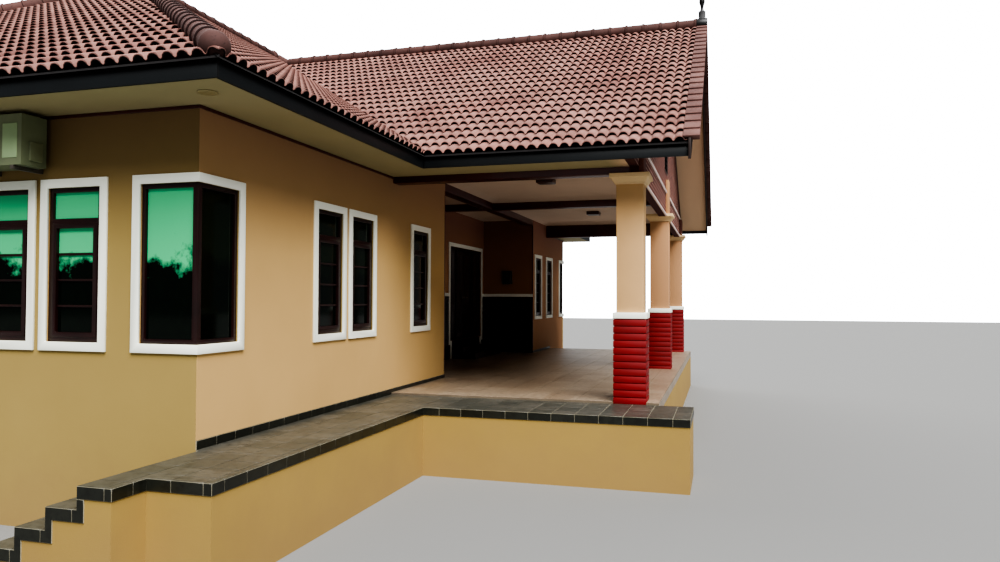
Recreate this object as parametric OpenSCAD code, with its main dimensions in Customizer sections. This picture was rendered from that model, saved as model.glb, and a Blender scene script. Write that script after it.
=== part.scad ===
// Bungalow with a hipped main roof and a gabled car porch on its right side.
// Lengths are in millimetres. The modules work in a house frame: X = 0, Y = 0 is the
// front right corner of the walls, Y runs into the depth and Z = 0 is the porch floor.
// on_ground() moves each sub-part so that the origin is under the middle of the building.

/* [Main body] */
// Length of the front wall
body_w = 12700; // [11800:50:14000]
// Depth of the house from the front wall to the rear wall
body_l = 17325; // [17100:25:18000]
// Thickness of the rendered walls
wall_t = 150; // [120:5:180]
// Depth of the lowest ground below the porch floor
ground_drop = 930; // [800:10:1200]
// Height of the indoor floor above the porch floor
floor_rise = 420; // [360:10:480]
// Thickness of the floor slabs
slab_t = 150; // [100:10:180]
// Height of the eaves soffit above the porch floor
soffit_h = 3246; // [3220:2:3400]

/* [Entrance recess] */
// Depth from the front wall to the start of the recess
recess_y0 = 6704; // [6600:4:6900]
// Depth from the front wall to the end wall of the recess
recess_y1 = 13340; // [13320:2:13500]
// Depth of the recess behind the right wall face
recess_d = 1357; // [1200:1:1600]

/* [Roof] */
// Pitch of every slope in degrees
roof_pitch = 30.5; // [27:0.5:34]
// Reach of the eaves from the wall face to the fascia face
eave_reach = 732; // [650:2:800]
// Reach of the tiles past the fascia
tile_reach = 40; // [20:5:60]
// Thickness of tiles and battens, square to the slope
roof_t = 60; // [40:5:90]
// Height of the fascia board
fascia_h = 130; // [100:5:180]
// Thickness of the fascia board
fascia_t = 25; // [18:1:40]
// Height of the recessed strip between the fascia and the tiles
eave_strip_h = 45; // [30:5:70]
// Thickness of the soffit and ceiling boards
board_t = 12; // [9:1:20]
// Outer radius of the half-round ridge and hip tiles
ridge_r = 120; // [90:5:150]
// Visible length of one ridge tile
ridge_gauge = 345; // [300:5:400]
// Extra radius of the collar on a ridge tile
ridge_collar = 14; // [8:1:25]

/* [Porch] */
// Depth from the front wall to the front fascia of the porch
porch_eave_y = 3850; // [3700:10:4000]
// Span of the porch roof from fascia to fascia
porch_span = 12000; // [11800:20:12100]
// Distance from the right wall face to the end of the porch slopes
verge_x = 4365; // [4300:5:4450]
// Side of the square column shafts
column_side = 374; // [330:2:420]
// Distance from the right wall face to the outer faces of the columns
column_x = 3740; // [3700:5:3800]
// Depth from the front wall to the front faces of the three columns
column_y = [4450, 9670, 14930];
// Height of the ribbed column bases above the porch floor
base_h = 1140; // [900:10:1300]
// Projection of the base ribs past the shaft, each side
base_over = 38; // [25:1:50]
// Count of ribs on a column base
base_courses = 12; // [8:1:16]
// Height of the white band over a base
band_h = 85; // [60:5:110]
// Height of the moulded capital
capital_h = 150; // [120:5:200]
// Projection of the capital past the shaft, each side
capital_over = 88; // [60:2:100]
// Rise of the porch ceiling above the eaves soffit
ceiling_rise = 310; // [240:5:340]
// Depth of the front and rear beams below the ceiling
beam_d = 405; // [340:5:430]
// Width of the porch beams
beam_w = 230; // [200:5:260]
// Depth of the thin middle and recess beams below the ceiling
thin_beam_d = 210; // [150:5:240]
// Width of the sloping cove round a ceiling bay
cove_w = 150; // [100:10:200]
// Height of the sloping cove round a ceiling bay
cove_h = 60; // [40:5:90]
// Thickness of the gable wall
gable_t = 130; // [110:5:160]
// Setback of the gable wall from the outer faces of the columns
gable_inset = 60; // [40:5:80]
// Drop of the gable wall below the beams, between the columns
gable_drop = 55; // [40:5:130]
// Thickness of the barge boards
barge_t = 35; // [25:1:45]
// Depth of the barge boards below the roof slab
barge_h = 200; // [160:5:240]

/* [Windows] */
// Width of a window opening
win_w = 650; // [600:5:700]
// Height of a window opening
win_h = 1550; // [1400:10:1600]
// Distance from the eaves soffit down to the heads of the windows
win_head_drop = 736; // [650:2:800]
// Width of the white surround
band_w = 90; // [60:5:110]
// Projection of the surround from the wall
band_t = 25; // [15:1:40]
// Width of the window frame members
frame_w = 45; // [35:1:60]
// Width of the sash members of the opening casements
sash_w = 52; // [40:1:70]
// Projection of the sashes from the frames
sash_out = 8; // [5:1:15]
// Depth of the window frame members
frame_d = 60; // [45:1:70]
// Setback of the window frames from the wall face
frame_set = 12; // [10:1:40]
// Thickness of the glass
glass_t = 6; // [4:1:10]
// Height of the fanlight over the transom
fanlight_h = 310; // [250:5:400]
// Leg of the corner window on the front wall
corner_leg_x = 658; // [600:2:700]
// Leg of the corner window on the right wall
corner_leg_y = 625; // [600:5:700]

/* [Entrance door] */
// Depth from the front wall to the door opening
door_y = 10690; // [10600:5:10800]
// Width of the door opening
door_w = 2390; // [2300:10:2500]
// Height of the door opening above the indoor floor
door_h = 2230; // [2150:5:2300]
// Width of each fixed side panel
side_panel_w = 480; // [420:5:520]
// Width of the door frame posts
post_w = 60; // [50:1:80]
// Depth of the door frame
door_frame_d = 90; // [80:1:110]
// Thickness of the door leaves
leaf_t = 40; // [35:1:50]
// Gap round the moving leaves
leaf_gap = 5; // [5:0.5:8]
// Radius of the hinge pins
pin_r = 6; // [5:0.5:8]
// Running clearance of the hinge knuckles
pin_gap = 0.3; // [0.2:0.05:0.5]

/* [Walkway and steps] */
// Width of the walkway along the right wall
walk_w = 970; // [900:10:1100]
// Depth from the front wall to the outer edge of the walkway, towards the viewer
walk_y0 = -1050; // [-1200:10:-950]
// Depth from the front wall to the front edge of the walkway along the porch
walk_y1 = 3300; // [3200:10:3500]
// Drop of the walkway below the porch floor
walk_drop = 30; // [20:1:50]
// Thickness of the walkway tiles
tile_t = 20; // [12:1:30]
// Thickness of the tiles on the edges and risers
edge_t = 10; // [8:1:15]
// Height of the tiled band round the edge of the walkway
edge_band_h = 100; // [80:5:120]
// Width of the side steps and the landing before the front wall
steps_w = 1420; // [1300:10:1500]
// Tread depth of the side steps
steps_tread = 300; // [260:5:340]
// Width of the tiled band beside a riser, on the side face of the steps
riser_band_w = 70; // [50:5:90]
// Count of risers of the side steps
steps_count = 5; // [4:1:6]
// Distance of the top nosing from the right wall face
steps_x = 50; // [0:5:100]
// Length of the landing along X
landing_w = 310; // [250:5:400]
// Rear edge of the porch floor
porch_floor_y1 = 15400; // [15350:5:15600]
// Right edge of the porch floor
porch_floor_x = 3950; // [3900:5:4100]
// Count of risers up to the door
entry_risers = 3; // [2:1:4]
// Tread depth of the entrance steps
entry_tread = 300; // [260:5:340]
// Inset of the entrance steps from the outer edges of the door surround
entry_inset = 200; // [150:5:250]

/* [Hidden] */
$fn = 32;
e = eave_reach;
r = tile_reach;
tp = tan(roof_pitch);
main_half = body_w / 2 + e;
porch_half = porch_span / 2;
ridge_y = porch_eave_y + porch_half;
porch_rear_y = porch_eave_y + porch_span;
mid_x = -body_w / 2;
column_x0 = column_x - column_side;
slab_z = roof_t / cos(roof_pitch);
// Clearance between a sloping face and what seats against it
seat_gap = 0.3;
// Overall reach of the building, which sets the origin
x_lo = -body_w - e - r;
verge_t = 110;
verge_lap = 70;
verge_up = 30;
verge_drop = 40;
x_hi = verge_x + barge_t + verge_t;
y_lo = -steps_w;
y_hi = body_l + e + r;

// Height of the roof slab's underside and top at a distance in from the fascia face
function under(d) = soffit_h + fascia_h + eave_strip_h + d * tp;
function top(d) = under(d) + slab_z;

ceiling_h = soffit_h + ceiling_rise;
beam_h = ceiling_h - beam_d;
thin_beam_h = ceiling_h - thin_beam_d;
gable_bottom = beam_h - gable_drop;
gable_x1 = column_x - gable_inset;
gable_x0 = gable_x1 - gable_t;
moulding_t = 30;
moulding_h = 45;
moulding_z = ceiling_h + 12;
win_sill = soffit_h - win_head_drop - win_h;

// Profile children are drawn as (Y, Z) and run along X, or as (X, Z) and run along Y
module run_x(x0, x1) { translate([x0, 0, 0]) rotate([90, 0, 90]) linear_extrude(x1 - x0) children(); }
module run_y(y0, y1) { translate([0, y1, 0]) rotate([90, 0, 0]) linear_extrude(y1 - y0) children(); }
module block(a, b) { translate(a) cube(b - a); }
module on_ground() { translate([-(x_lo + x_hi) / 2, -(y_lo + y_hi) / 2, ground_drop]) children(); }

// Walkway, steps and floors

porch_edge = column_y[0] - base_over;
walk_out_x = 4400;
walk_top = -walk_drop;
masonry_y0 = -steps_w + edge_t;

// Outline of the masonry, or of the tiles where it grows by their thickness on the outer edges
module walkway_plan(grow = 0) {
    polygon([
        [0, 0], [0, porch_edge], [walk_out_x + grow, porch_edge], [walk_out_x + grow, walk_y1 - grow],
        [walk_w + grow, walk_y1 - grow], [walk_w + grow, walk_y0 - grow],
        [steps_x + landing_w + grow, walk_y0 - grow], [steps_x + landing_w + grow, masonry_y0 - grow],
        [steps_x - grow, masonry_y0 - grow], [steps_x - grow, 0]
    ]);
}

module walkway_base() {
    color([0.76, 0.64, 0.45]) difference() {
        translate([0, 0, -ground_drop]) linear_extrude(ground_drop + walk_top - tile_t) walkway_plan();
        translate([0, 0, -ground_drop - 1]) linear_extrude(ground_drop + walk_top - tile_t - slab_t + 1)
            offset(delta = -wall_t) walkway_plan();
    }
}

// Floor tiles and the tiled band that turns down over the outer edges
module walkway_tiles() {
    color([0.32, 0.32, 0.31]) {
        translate([0, 0, walk_top - tile_t]) linear_extrude(tile_t) walkway_plan(edge_t);
        translate([0, 0, walk_top - edge_band_h]) linear_extrude(edge_band_h - tile_t) difference() {
            walkway_plan(edge_t);
            walkway_plan();
        }
    }
}

steps_rise = (ground_drop + walk_top) / steps_count;
// Stair line as (X, Z) points, moved out to the left and down
function stair_line(out, low) = [
    for (i = [1:steps_count - 1]) for (k = [0, 1])
        [steps_x - out - i * steps_tread, max(-ground_drop, walk_top - low - (i + k) * steps_rise)]
];

// Outline of the flight under a stair line, with its right side at x1 and its top step at z1
module flight(out, low, x1, z1) {
    polygon(concat([
        [x1, -ground_drop], [x1, z1], [steps_x - out, z1], [steps_x - out, walk_top - steps_rise - low]
    ], stair_line(out, low)));
}
module side_steps() {
    color([0.76, 0.64, 0.45]) run_y(masonry_y0, 0) polygon(concat(
        [[steps_x, -ground_drop], [steps_x, walk_top - steps_rise - tile_t]], stair_line(0, tile_t)
    ));
}

// Treads and risers, with the stepped band on the side face
module step_tiles() {
    band_x = steps_x + riser_band_w - edge_t;
    color([0.3, 0.3, 0.29]) {
        run_y(masonry_y0, 0) difference() {
            flight(edge_t, 0, steps_x, walk_top - edge_band_h);
            polygon(concat([
                [steps_x + 1, -ground_drop - 1], [steps_x + 1, walk_top - steps_rise - tile_t]
            ], stair_line(0, tile_t), [[steps_x - (steps_count - 1) * steps_tread, -ground_drop - 1]]));
        }
        run_y(-steps_w, masonry_y0) difference() {
            flight(edge_t, 0, band_x, walk_top - edge_band_h);
            polygon(concat([
                [band_x + 1, -ground_drop - 1], [band_x + 1, walk_top - steps_rise - edge_band_h]
            ], stair_line(edge_t - riser_band_w, edge_band_h),
                [[steps_x - edge_t + riser_band_w - (steps_count - 1) * steps_tread, -ground_drop - 1]]));
        }
    }
}

module porch_base() {
    color([0.76, 0.64, 0.45]) difference() {
        block([0, porch_edge, -ground_drop], [porch_floor_x, porch_floor_y1, -slab_t]);
        block([wall_t, porch_edge + wall_t, -ground_drop - 1],
            [porch_floor_x - wall_t, porch_floor_y1 - wall_t, -slab_t + 1]);
    }
}

module porch_floor() {
    color([0.59, 0.51, 0.41]) difference() {
        union() {
            block([0, porch_edge, -slab_t], [porch_floor_x, porch_floor_y1, 0]);
            block([-recess_d, recess_y0, -slab_t], [0, recess_y1, 0]);
        }
        for (y = column_y) translate([column_x0 - base_over, y - base_over, -walk_drop])
            cube([column_side + 2 * base_over, column_side + 2 * base_over, slab_t]);
    }
}

module entrance_steps() {
    rise = floor_rise / entry_risers;
    y0 = door_y - band_w + entry_inset;
    y1 = door_y + door_w + band_w - entry_inset;
    color([0.33, 0.2, 0.18]) for (i = [1:entry_risers - 1])
        block([-recess_d + (i - 1) * entry_tread, y0, 0],
            [-recess_d + i * entry_tread, y1, floor_rise - i * rise]);
}

module ground_floor() {
    color([0.7, 0.66, 0.58]) difference() {
        block([-body_w + wall_t, wall_t, floor_rise - slab_t], [-wall_t, body_l - wall_t, floor_rise]);
        block([-recess_d - wall_t, recess_y0 - wall_t, floor_rise - slab_t - 1],
            [0, recess_y1 + wall_t, floor_rise + 1]);
    }
}

// Walls

// Height of what seats under the roof slab at a distance in from the fascia face
function seat(d) = under(d) - seat_gap;

// Space below the roof slab of the main body
module under_roof() {
    intersection() {
        run_y(-e, body_l + e) polygon([
            [-body_w - e, -ground_drop], [e, -ground_drop], [e, seat(0)], [mid_x, seat(main_half)],
            [-body_w - e, seat(0)]
        ]);
        run_x(-body_w - e, e) polygon([
            [-e, -ground_drop], [body_l + e, -ground_drop], [body_l + e, seat(0)],
            [body_l / 2, seat(body_l / 2 + e)], [-e, seat(0)]
        ]);
    }
}

// Window places: the side of the house and the distance of the opening along it
front_wins = [-1790, -2686, -5700, -6596, -9900, -10796];
right_wins = [2211, 3118, 5221];
rear_right_wins = [13600, 14950];
left_wins = [2211, 3118, 7200, 8107, 12300, 13207];
rear_wins = [-2700, -3596, -6300, -7196, -10300, -11196];
windows = concat(
    [for (x = front_wins) ["front", x]], [for (y = right_wins) ["right", y]],
    [for (y = rear_right_wins) ["right", y]], [for (y = left_wins) ["left", y]],
    [for (x = rear_wins) ["rear", x]]
);

// Local frame of a window: X along the wall, Y inwards from the wall face
module at_window(w) {
    if (w[0] == "front") translate([w[1], 0, 0]) children();
    if (w[0] == "right") translate([0, w[1], 0]) rotate(90) children();
    if (w[0] == "left") translate([-body_w, w[1] + win_w, 0]) rotate(-90) children();
    if (w[0] == "rear") translate([w[1] + win_w, body_l, 0]) rotate(180) children();
}

module window_hole() { block([0, -1, win_sill], [win_w, wall_t + 1, win_sill + win_h]); }

module corner_hole() {
    block([-corner_leg_x, -1, win_sill], [1, wall_t + 1, win_sill + win_h]);
    block([-wall_t - 1, -1, win_sill], [1, corner_leg_y, win_sill + win_h]);
}

module all_wall_holes() {
    for (w = windows) at_window(w) window_hole();
    corner_hole();
    translate([0, body_l, 0]) mirror([0, 1, 0]) corner_hole();
}

module outer_wall(a, b) {
    color([0.76, 0.64, 0.45]) difference() {
        intersection() {
            block([a[0], a[1], -ground_drop], [b[0], b[1], under(main_half)]);
            under_roof();
        }
        all_wall_holes();
    }
}

module front_wall() { outer_wall([-body_w, 0], [0, wall_t]); }
module rear_wall() { outer_wall([-body_w, body_l - wall_t], [0, body_l]); }
module left_wall() { outer_wall([-body_w, wall_t], [-body_w + wall_t, body_l - wall_t]); }
module front_right_wall() { outer_wall([-wall_t, wall_t], [0, recess_y0]); }
module rear_right_wall() { outer_wall([-wall_t, recess_y1], [0, body_l - wall_t]); }

plate_h = seat(e);
module inner_wall(a, b, z0 = -ground_drop) {
    color([0.76, 0.64, 0.45]) block([a[0], a[1], z0], [b[0], b[1], plate_h]);
}

module recess_return_wall() {
    inner_wall([-recess_d, recess_y0 - wall_t], [-wall_t, recess_y0]);
}
module recess_end_wall() {
    inner_wall([-recess_d, recess_y1], [-wall_t, recess_y1 + wall_t]);
}
module door_wall_front() {
    inner_wall([-recess_d - wall_t, recess_y0 - wall_t], [-recess_d, door_y]);
}
module door_wall_rear() {
    inner_wall([-recess_d - wall_t, door_y + door_w], [-recess_d, recess_y1 + wall_t]);
}
// Wall over the doorway, and under its sill
module door_wall_middle() {
    inner_wall([-recess_d - wall_t, door_y], [-recess_d, door_y + door_w], floor_rise + door_h);
    color([0.76, 0.64, 0.45])
        block([-recess_d - wall_t, door_y, -ground_drop], [-recess_d, door_y + door_w, floor_rise]);
}

// Porch

module at_columns() {
    for (y = column_y) translate([column_x0 + column_side / 2, y + column_side / 2, 0]) children();
}

// A square block whose four sides all have the outline drawn to the right of its axis
module square_moulding(reach) {
    intersection() {
        run_x(-reach, reach) union() { children(); mirror([1, 0]) children(); }
        run_y(-reach, reach) union() { children(); mirror([1, 0]) children(); }
    }
}

module column_bases() {
    half = column_side / 2;
    course = (base_h + walk_drop) / base_courses;
    groove = 12;
    color([0.63, 0.14, 0.14]) at_columns() square_moulding(half + base_over)
        polygon(concat([[0, base_h], [0, -walk_drop]], [for (i = [0:base_courses - 1]) each [
            [half + base_over, -walk_drop + i * course],
            [half + base_over, -walk_drop + (i + 1) * course - groove],
            [half + base_over - groove, -walk_drop + (i + 1) * course - groove],
            [half + base_over - groove, -walk_drop + (i + 1) * course]
        ]]));
}

module column_bands() {
    half = column_side / 2 + 45;
    color([0.9, 0.88, 0.82]) at_columns() translate([-half, -half, base_h])
        cube([2 * half, 2 * half, band_h]);
}

// Each shaft runs on above its capital as a flat pilaster on the gable wall, the middle one higher
module column_shafts() {
    half = column_side / 2;
    color([0.84, 0.76, 0.59]) {
        at_columns() translate([-half, -half, base_h + band_h])
            cube([column_side, column_side, beam_h - capital_h - base_h - band_h]);
        for (i = [0:2]) block([gable_x1, column_y[i], beam_h],
            [column_x, column_y[i] + column_side, i == 1 ? vent_z - vent_over : moulding_z]);
    }
}

module column_capitals() {
    half = column_side / 2;
    z0 = beam_h - capital_h;
    step = capital_h / 5;
    color([0.92, 0.86, 0.72]) at_columns() square_moulding(half + capital_over) polygon([
        [0, z0], [half + 20, z0], [half + 20, z0 + step], [half + 35, z0 + step],
        [half + capital_over - 20, beam_h - 2 * step], [half + capital_over, beam_h - 2 * step],
        [half + capital_over, beam_h], [0, beam_h]
    ]);
}

module front_beam() {
    color([0.29, 0.06, 0.07]) block([0, column_y[0], beam_h], [gable_x0, column_y[0] + beam_w, ceiling_h]);
}
module rear_beam() {
    color([0.29, 0.06, 0.07])
        block([0, column_y[2], beam_h], [gable_x0, column_y[2] + beam_w, ceiling_h]);
}
module middle_beam() {
    color([0.29, 0.06, 0.07]) {
        block([0, column_y[1], thin_beam_h], [gable_x0, column_y[1] + beam_w, ceiling_h]);
        block([-recess_d, column_y[1], thin_beam_h], [-beam_w, column_y[1] + beam_w, ceiling_h]);
    }
}
module recess_beam() {
    color([0.29, 0.06, 0.07]) block([-beam_w, recess_y0, thin_beam_h], [0, recess_y1, plate_h]);
}

// Ceiling board of one bay over a cove that slopes up from its four sides
module ceiling_bay(x0, y0, x1, y1) {
    z1 = ceiling_h - board_t;
    z0 = z1 - cove_h;
    over = 10;
    side = over * cove_w / cove_h;
    module hollow(a, b) {
        polygon([
            [a - side, z0 - over], [b + side, z0 - over], [b - cove_w - side, z1 + over],
            [a + cove_w + side, z1 + over]
        ]);
    }
    difference() {
        block([x0, y0, z0], [x1, y1, ceiling_h]);
        intersection() {
            run_x(x0 - side, x1 + side) hollow(y0, y1);
            run_y(y0 - side, y1 + side) hollow(x0, x1);
            block([x0 - side, y0 - side, z0 - over], [x1 + side, y1 + side, z1]);
        }
    }
}
module porch_ceiling() {
    y1 = column_y[0] + beam_w;
    y2 = column_y[1] + beam_w;
    color([0.86, 0.81, 0.75]) {
        ceiling_bay(0, y1, gable_x0, column_y[1]);
        ceiling_bay(0, y2, gable_x0, column_y[2]);
        ceiling_bay(-recess_d, recess_y0, -beam_w, column_y[1]);
        ceiling_bay(-recess_d, y2, -beam_w, recess_y1);
    }
}

module ceiling_lights() {
    side = 300;
    drop = 80;
    x = (gable_x0) / 2;
    color([0.7, 0.7, 0.68]) translate([e / 2, -e / 2, soffit_h - 15]) cylinder(d = 180, h = 15);
    color([0.25, 0.08, 0.07]) for (y = [(column_y[0] + column_y[1]) / 2, (column_y[1] + column_y[2]) / 2])
        translate([x - side / 2, y - side / 2, ceiling_h - board_t - drop]) cube([side, side, drop]);
}

module gable_outline() {
    y0 = column_y[0];
    y1 = column_y[2] + column_side;
    polygon([
        [y0, gable_bottom], [y1, gable_bottom], [y1, soffit_h], [porch_rear_y - fascia_t, soffit_h],
        [porch_rear_y - fascia_t, seat(fascia_t)], [ridge_y, seat(porch_half)],
        [porch_eave_y + fascia_t, seat(fascia_t)], [porch_eave_y + fascia_t, soffit_h], [y0, soffit_h]
    ]);
}

vent_w = 900;
vent_h = 900;
vent_z = 4000;
// Brickwork between the middle pilaster and the vent
vent_over = 150;
module gable_wall() {
    color([0.5, 0.27, 0.22]) difference() {
        run_x(gable_x0, gable_x1) difference() {
            gable_outline();
            translate([ridge_y - vent_w / 2, vent_z]) square([vent_w, vent_h]);
        }
        cap = column_side / 2 + capital_over;
        at_columns() translate([-cap, -cap, gable_bottom - 1])
            cube([2 * cap, 2 * cap, beam_h - gable_bottom + 1]);
    }
}

// Mouldings along the foot of the gable wall and higher up, between the columns and the pilasters
module gable_mouldings() {
    cap = column_side + capital_over;
    color([0.93, 0.86, 0.83]) for (i = [0, 1]) {
        block([gable_x1, column_y[i] + cap, gable_bottom],
            [gable_x1 + moulding_t, column_y[i + 1] - capital_over, gable_bottom + moulding_h]);
        block([gable_x1, column_y[i] + column_side, moulding_z],
            [gable_x1 + moulding_t, column_y[i + 1], moulding_z + moulding_h]);
    }
}

module gable_vent() {
    rail = 60;
    slats = 9;
    pitch = (vent_h - 2 * rail) / slats;
    color([0.12, 0.12, 0.12]) {
        run_x(gable_x1 - 100, gable_x1) translate([ridge_y - vent_w / 2, vent_z]) difference() {
            square([vent_w, vent_h]);
            translate([rail, rail]) square([vent_w - 2 * rail, vent_h - 2 * rail]);
        }
        for (i = [0:slats - 1]) run_y(ridge_y - vent_w / 2 + rail, ridge_y + vent_w / 2 - rail)
            translate([gable_x1 - 90, vent_z + rail + (i + 0.5) * pitch])
                polygon([[0, pitch / 3], [80, -pitch / 3], [80, -pitch / 3 + 12], [0, pitch / 3 + 12]]);
    }
}

// Roof

// Slope outline: distance in from the fascia face and height
module slope_profile(half) {
    polygon([[-r, under(-r)], [half, under(half)], [half, top(half)], [-r, top(-r)]]);
}
module plan_cut(points) { translate([0, 0, soffit_h]) linear_extrude(top(main_half)) polygon(points); }

main_apex_y0 = main_half - e;
main_apex_y1 = body_l - main_apex_y0;
front_plan = [[-body_w - e - r, -e - r], [e + r, -e - r], [mid_x, main_apex_y0]];
rear_plan = [for (p = front_plan) [p[0], body_l - p[1]]];

module main_roof_front() {
    color([0.55, 0.33, 0.31]) intersection() {
        run_x(x_lo, e + r) translate([-e, 0]) slope_profile(main_half);
        plan_cut(front_plan);
    }
}
module main_roof_rear() {
    color([0.55, 0.33, 0.31]) intersection() {
        run_x(x_lo, e + r) translate([body_l + e, 0]) mirror([1, 0]) slope_profile(main_half);
        plan_cut(rear_plan);
    }
}
module main_roof_left() {
    color([0.55, 0.33, 0.31]) intersection() {
        run_y(-e - r, y_hi) translate([-body_w - e, 0]) slope_profile(main_half);
        plan_cut([front_plan[0], front_plan[2], rear_plan[2], rear_plan[0]]);
    }
}
module main_roof_right() {
    color([0.55, 0.33, 0.31]) intersection() {
        run_y(-e - r, y_hi) translate([e, 0]) mirror([1, 0]) slope_profile(main_half);
        plan_cut([
            front_plan[1], [e + r, porch_eave_y - r], [e - porch_half, ridge_y],
            [e + r, porch_rear_y + r], rear_plan[1], rear_plan[2], front_plan[2]
        ]);
    }
}

module porch_slope() {
    intersection() {
        run_x(e - porch_half, verge_x) translate([porch_eave_y, 0]) slope_profile(porch_half);
        plan_cut([
            [e + r, porch_eave_y - r], [verge_x, porch_eave_y - r], [verge_x, ridge_y],
            [e - porch_half, ridge_y]
        ]);
    }
}
module porch_roof_front() { color([0.55, 0.33, 0.31]) porch_slope(); }
module porch_roof_rear() {
    color([0.55, 0.33, 0.31]) translate([0, 2 * ridge_y, 0]) mirror([0, 1, 0]) porch_slope();
}

// Ridge and hip tiles bed on two slopes that fall away at an angle in the run's own section
hip_fall = acos(pow(cos(roof_pitch), 2)) / 2;
hip_rise = atan(tp / sqrt(2));
hip_len = (main_half + r) * sqrt(2) / cos(hip_rise);
collar_w = 50;
collar_r = ridge_r + ridge_collar;
// The round end tile at the foot of a hip stays over the slopes, so its middle stands back
hip_foot = collar_r * sqrt(2) / cos(hip_rise);
apex_r = collar_r + 16;

// A run of round tiles along X: one turned outline with a collar at the foot of each tile,
// cut along the two slopes below it. A round end tile may stand before its foot.
module barrel_run(len, fall, round_end = false) {
    count = round(len / ridge_gauge);
    gauge = len / count;
    wide = 2 * collar_r;
    nose = [for (a = [0:15:75]) [collar_r * sin(a), -collar_r * cos(a)]];
    intersection() {
        rotate([0, 90, 0]) rotate_extrude() polygon(concat(
            [[0, len]], round_end ? nose : [[0, 0]],
            [for (i = [0:count - 1]) each [
                [collar_r, i * gauge], [collar_r, i * gauge + collar_w], [ridge_r, i * gauge + collar_w],
                [ridge_r, (i + 1) * gauge]
            ]]
        ));
        run_x(-wide, len + 1) polygon([
            [0, seat_gap], [wide, seat_gap - wide * tan(fall)], [wide, wide], [-wide, wide],
            [-wide, seat_gap - wide * tan(fall)]
        ]);
    }
}

module ridge_tiles() {
    stop = 0.8 * apex_r;
    color([0.5, 0.3, 0.28]) {
        translate([mid_x, main_apex_y0 + stop, top(main_half)]) rotate(90)
            barrel_run(main_apex_y1 - main_apex_y0 - 2 * stop, roof_pitch);
        translate([verge_x - verge_lap, ridge_y, top(porch_half)]) rotate(180)
            barrel_run(verge_x - verge_lap - e + porch_half - ridge_r, roof_pitch);
        for (s = [0, 1]) for (t = [0, 1])
            translate([s == 0 ? e + r : x_lo, t == 0 ? -e - r : y_hi, top(-r)])
                rotate(t == 0 ? (s == 0 ? 135 : 45) : (s == 0 ? -135 : -45))
                    rotate([0, -hip_rise, 0]) translate([hip_foot, 0, 0])
                        barrel_run(hip_len - hip_foot - stop, hip_fall, round_end = true);
        for (y = [main_apex_y0, main_apex_y1]) apex_cap(y);
    }
}

// Round cap where a ridge and two hips meet, seated a little higher than the runs it closes
module apex_cap(y) {
    lift = slab_z + 2 * seat_gap;
    difference() {
        translate([mid_x, y, top(main_half)]) sphere(r = apex_r);
        intersection() {
            run_y(-e, body_l + e) polygon([
                [-body_w - e, 0], [e, 0], [e, under(0) + lift], [mid_x, under(main_half) + lift],
                [-body_w - e, under(0) + lift]
            ]);
            run_x(-body_w - e, e) polygon([
                [-e, 0], [body_l + e, 0], [body_l + e, under(0) + lift],
                [main_apex_y1, under(main_half) + lift], [main_apex_y0, under(main_half) + lift],
                [-e, under(0) + lift]
            ]);
        }
    }
}

module board_xy(x0, y0, x1, y1) { block([x0, y0, soffit_h], [x1, y1, soffit_h + board_t]); }

module soffits() {
    f = e - fascia_t;
    color([0.75, 0.69, 0.57]) {
        board_xy(-body_w - f, -f, f, 0);
        board_xy(-body_w - f, body_l, f, body_l + f);
        board_xy(-body_w - f, 0, -body_w, body_l);
        board_xy(0, 0, f, column_y[0]);
        board_xy(0, column_y[2] + beam_w, f, body_l);
        board_xy(f, porch_eave_y + fascia_t, gable_x0, column_y[0]);
        board_xy(f, column_y[2] + beam_w, gable_x0, porch_rear_y - fascia_t);
        both_verges() verge_board();
    }
}

// The rear half of the gable mirrors the front half
module both_verges() {
    children();
    translate([0, 2 * ridge_y, 0]) mirror([0, 1, 0]) children();
}

// Board under the verge, parallel to the slope, from the gable wall to the barge board
module verge_board() {
    drop = barge_h / 2;
    z0 = under(fascia_t) - drop;
    z1 = under(porch_half) - drop;
    run_x(gable_x1, verge_x) translate([porch_eave_y, 0])
        polygon([[fascia_t, z0], [porch_half, z1], [porch_half, z1 + board_t], [fascia_t, z0 + board_t]]);
}

// Cover boards under the verge boards, against the gable wall
module gable_covers() {
    t = 20;
    h = 90;
    drop = barge_h / 2 + seat_gap;
    a = column_y[0] - porch_eave_y;
    color([0.2, 0.07, 0.07]) both_verges() run_x(gable_x1, gable_x1 + t) translate([porch_eave_y, 0])
        polygon([
            [a, under(a) - drop - h], [porch_half, under(porch_half) - drop - h],
            [porch_half, under(porch_half) - drop], [a, under(a) - drop]
        ]);
}

// Fascia board with the recessed strip above it; a board to be cut by the roof starts taller
module fascia_profile(over = 0) {
    polygon([
        [0, soffit_h], [fascia_t, soffit_h], [fascia_t, seat(fascia_t) + over],
        [fascia_t / 2, seat(fascia_t / 2) + over], [fascia_t / 2, soffit_h + fascia_h],
        [0, soffit_h + fascia_h]
    ]);
}
module below_roof() {
    intersection() {
        children();
        under_roof();
    }
}
// The side boards butt against the front and rear ones, and the porch boards against the side ones
module fascias() {
    over = 20;
    y0 = -e + fascia_t + seat_gap;
    y1 = body_l + e - fascia_t - seat_gap;
    color([0.17, 0.2, 0.23]) {
        below_roof() run_x(-body_w - e, e) translate([-e, 0]) fascia_profile(over);
        below_roof() run_x(-body_w - e, e) translate([body_l + e, 0]) mirror([1, 0]) fascia_profile(over);
        below_roof() run_y(y0, y1) translate([-body_w - e, 0]) fascia_profile(over);
        below_roof() run_y(y0, porch_eave_y + fascia_t) translate([e, 0]) mirror([1, 0]) fascia_profile(over);
        below_roof() run_y(porch_rear_y - fascia_t, y1) translate([e, 0]) mirror([1, 0]) fascia_profile(over);
        both_verges() run_x(e + seat_gap, verge_x) translate([porch_eave_y, 0]) fascia_profile();
    }
}

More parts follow.
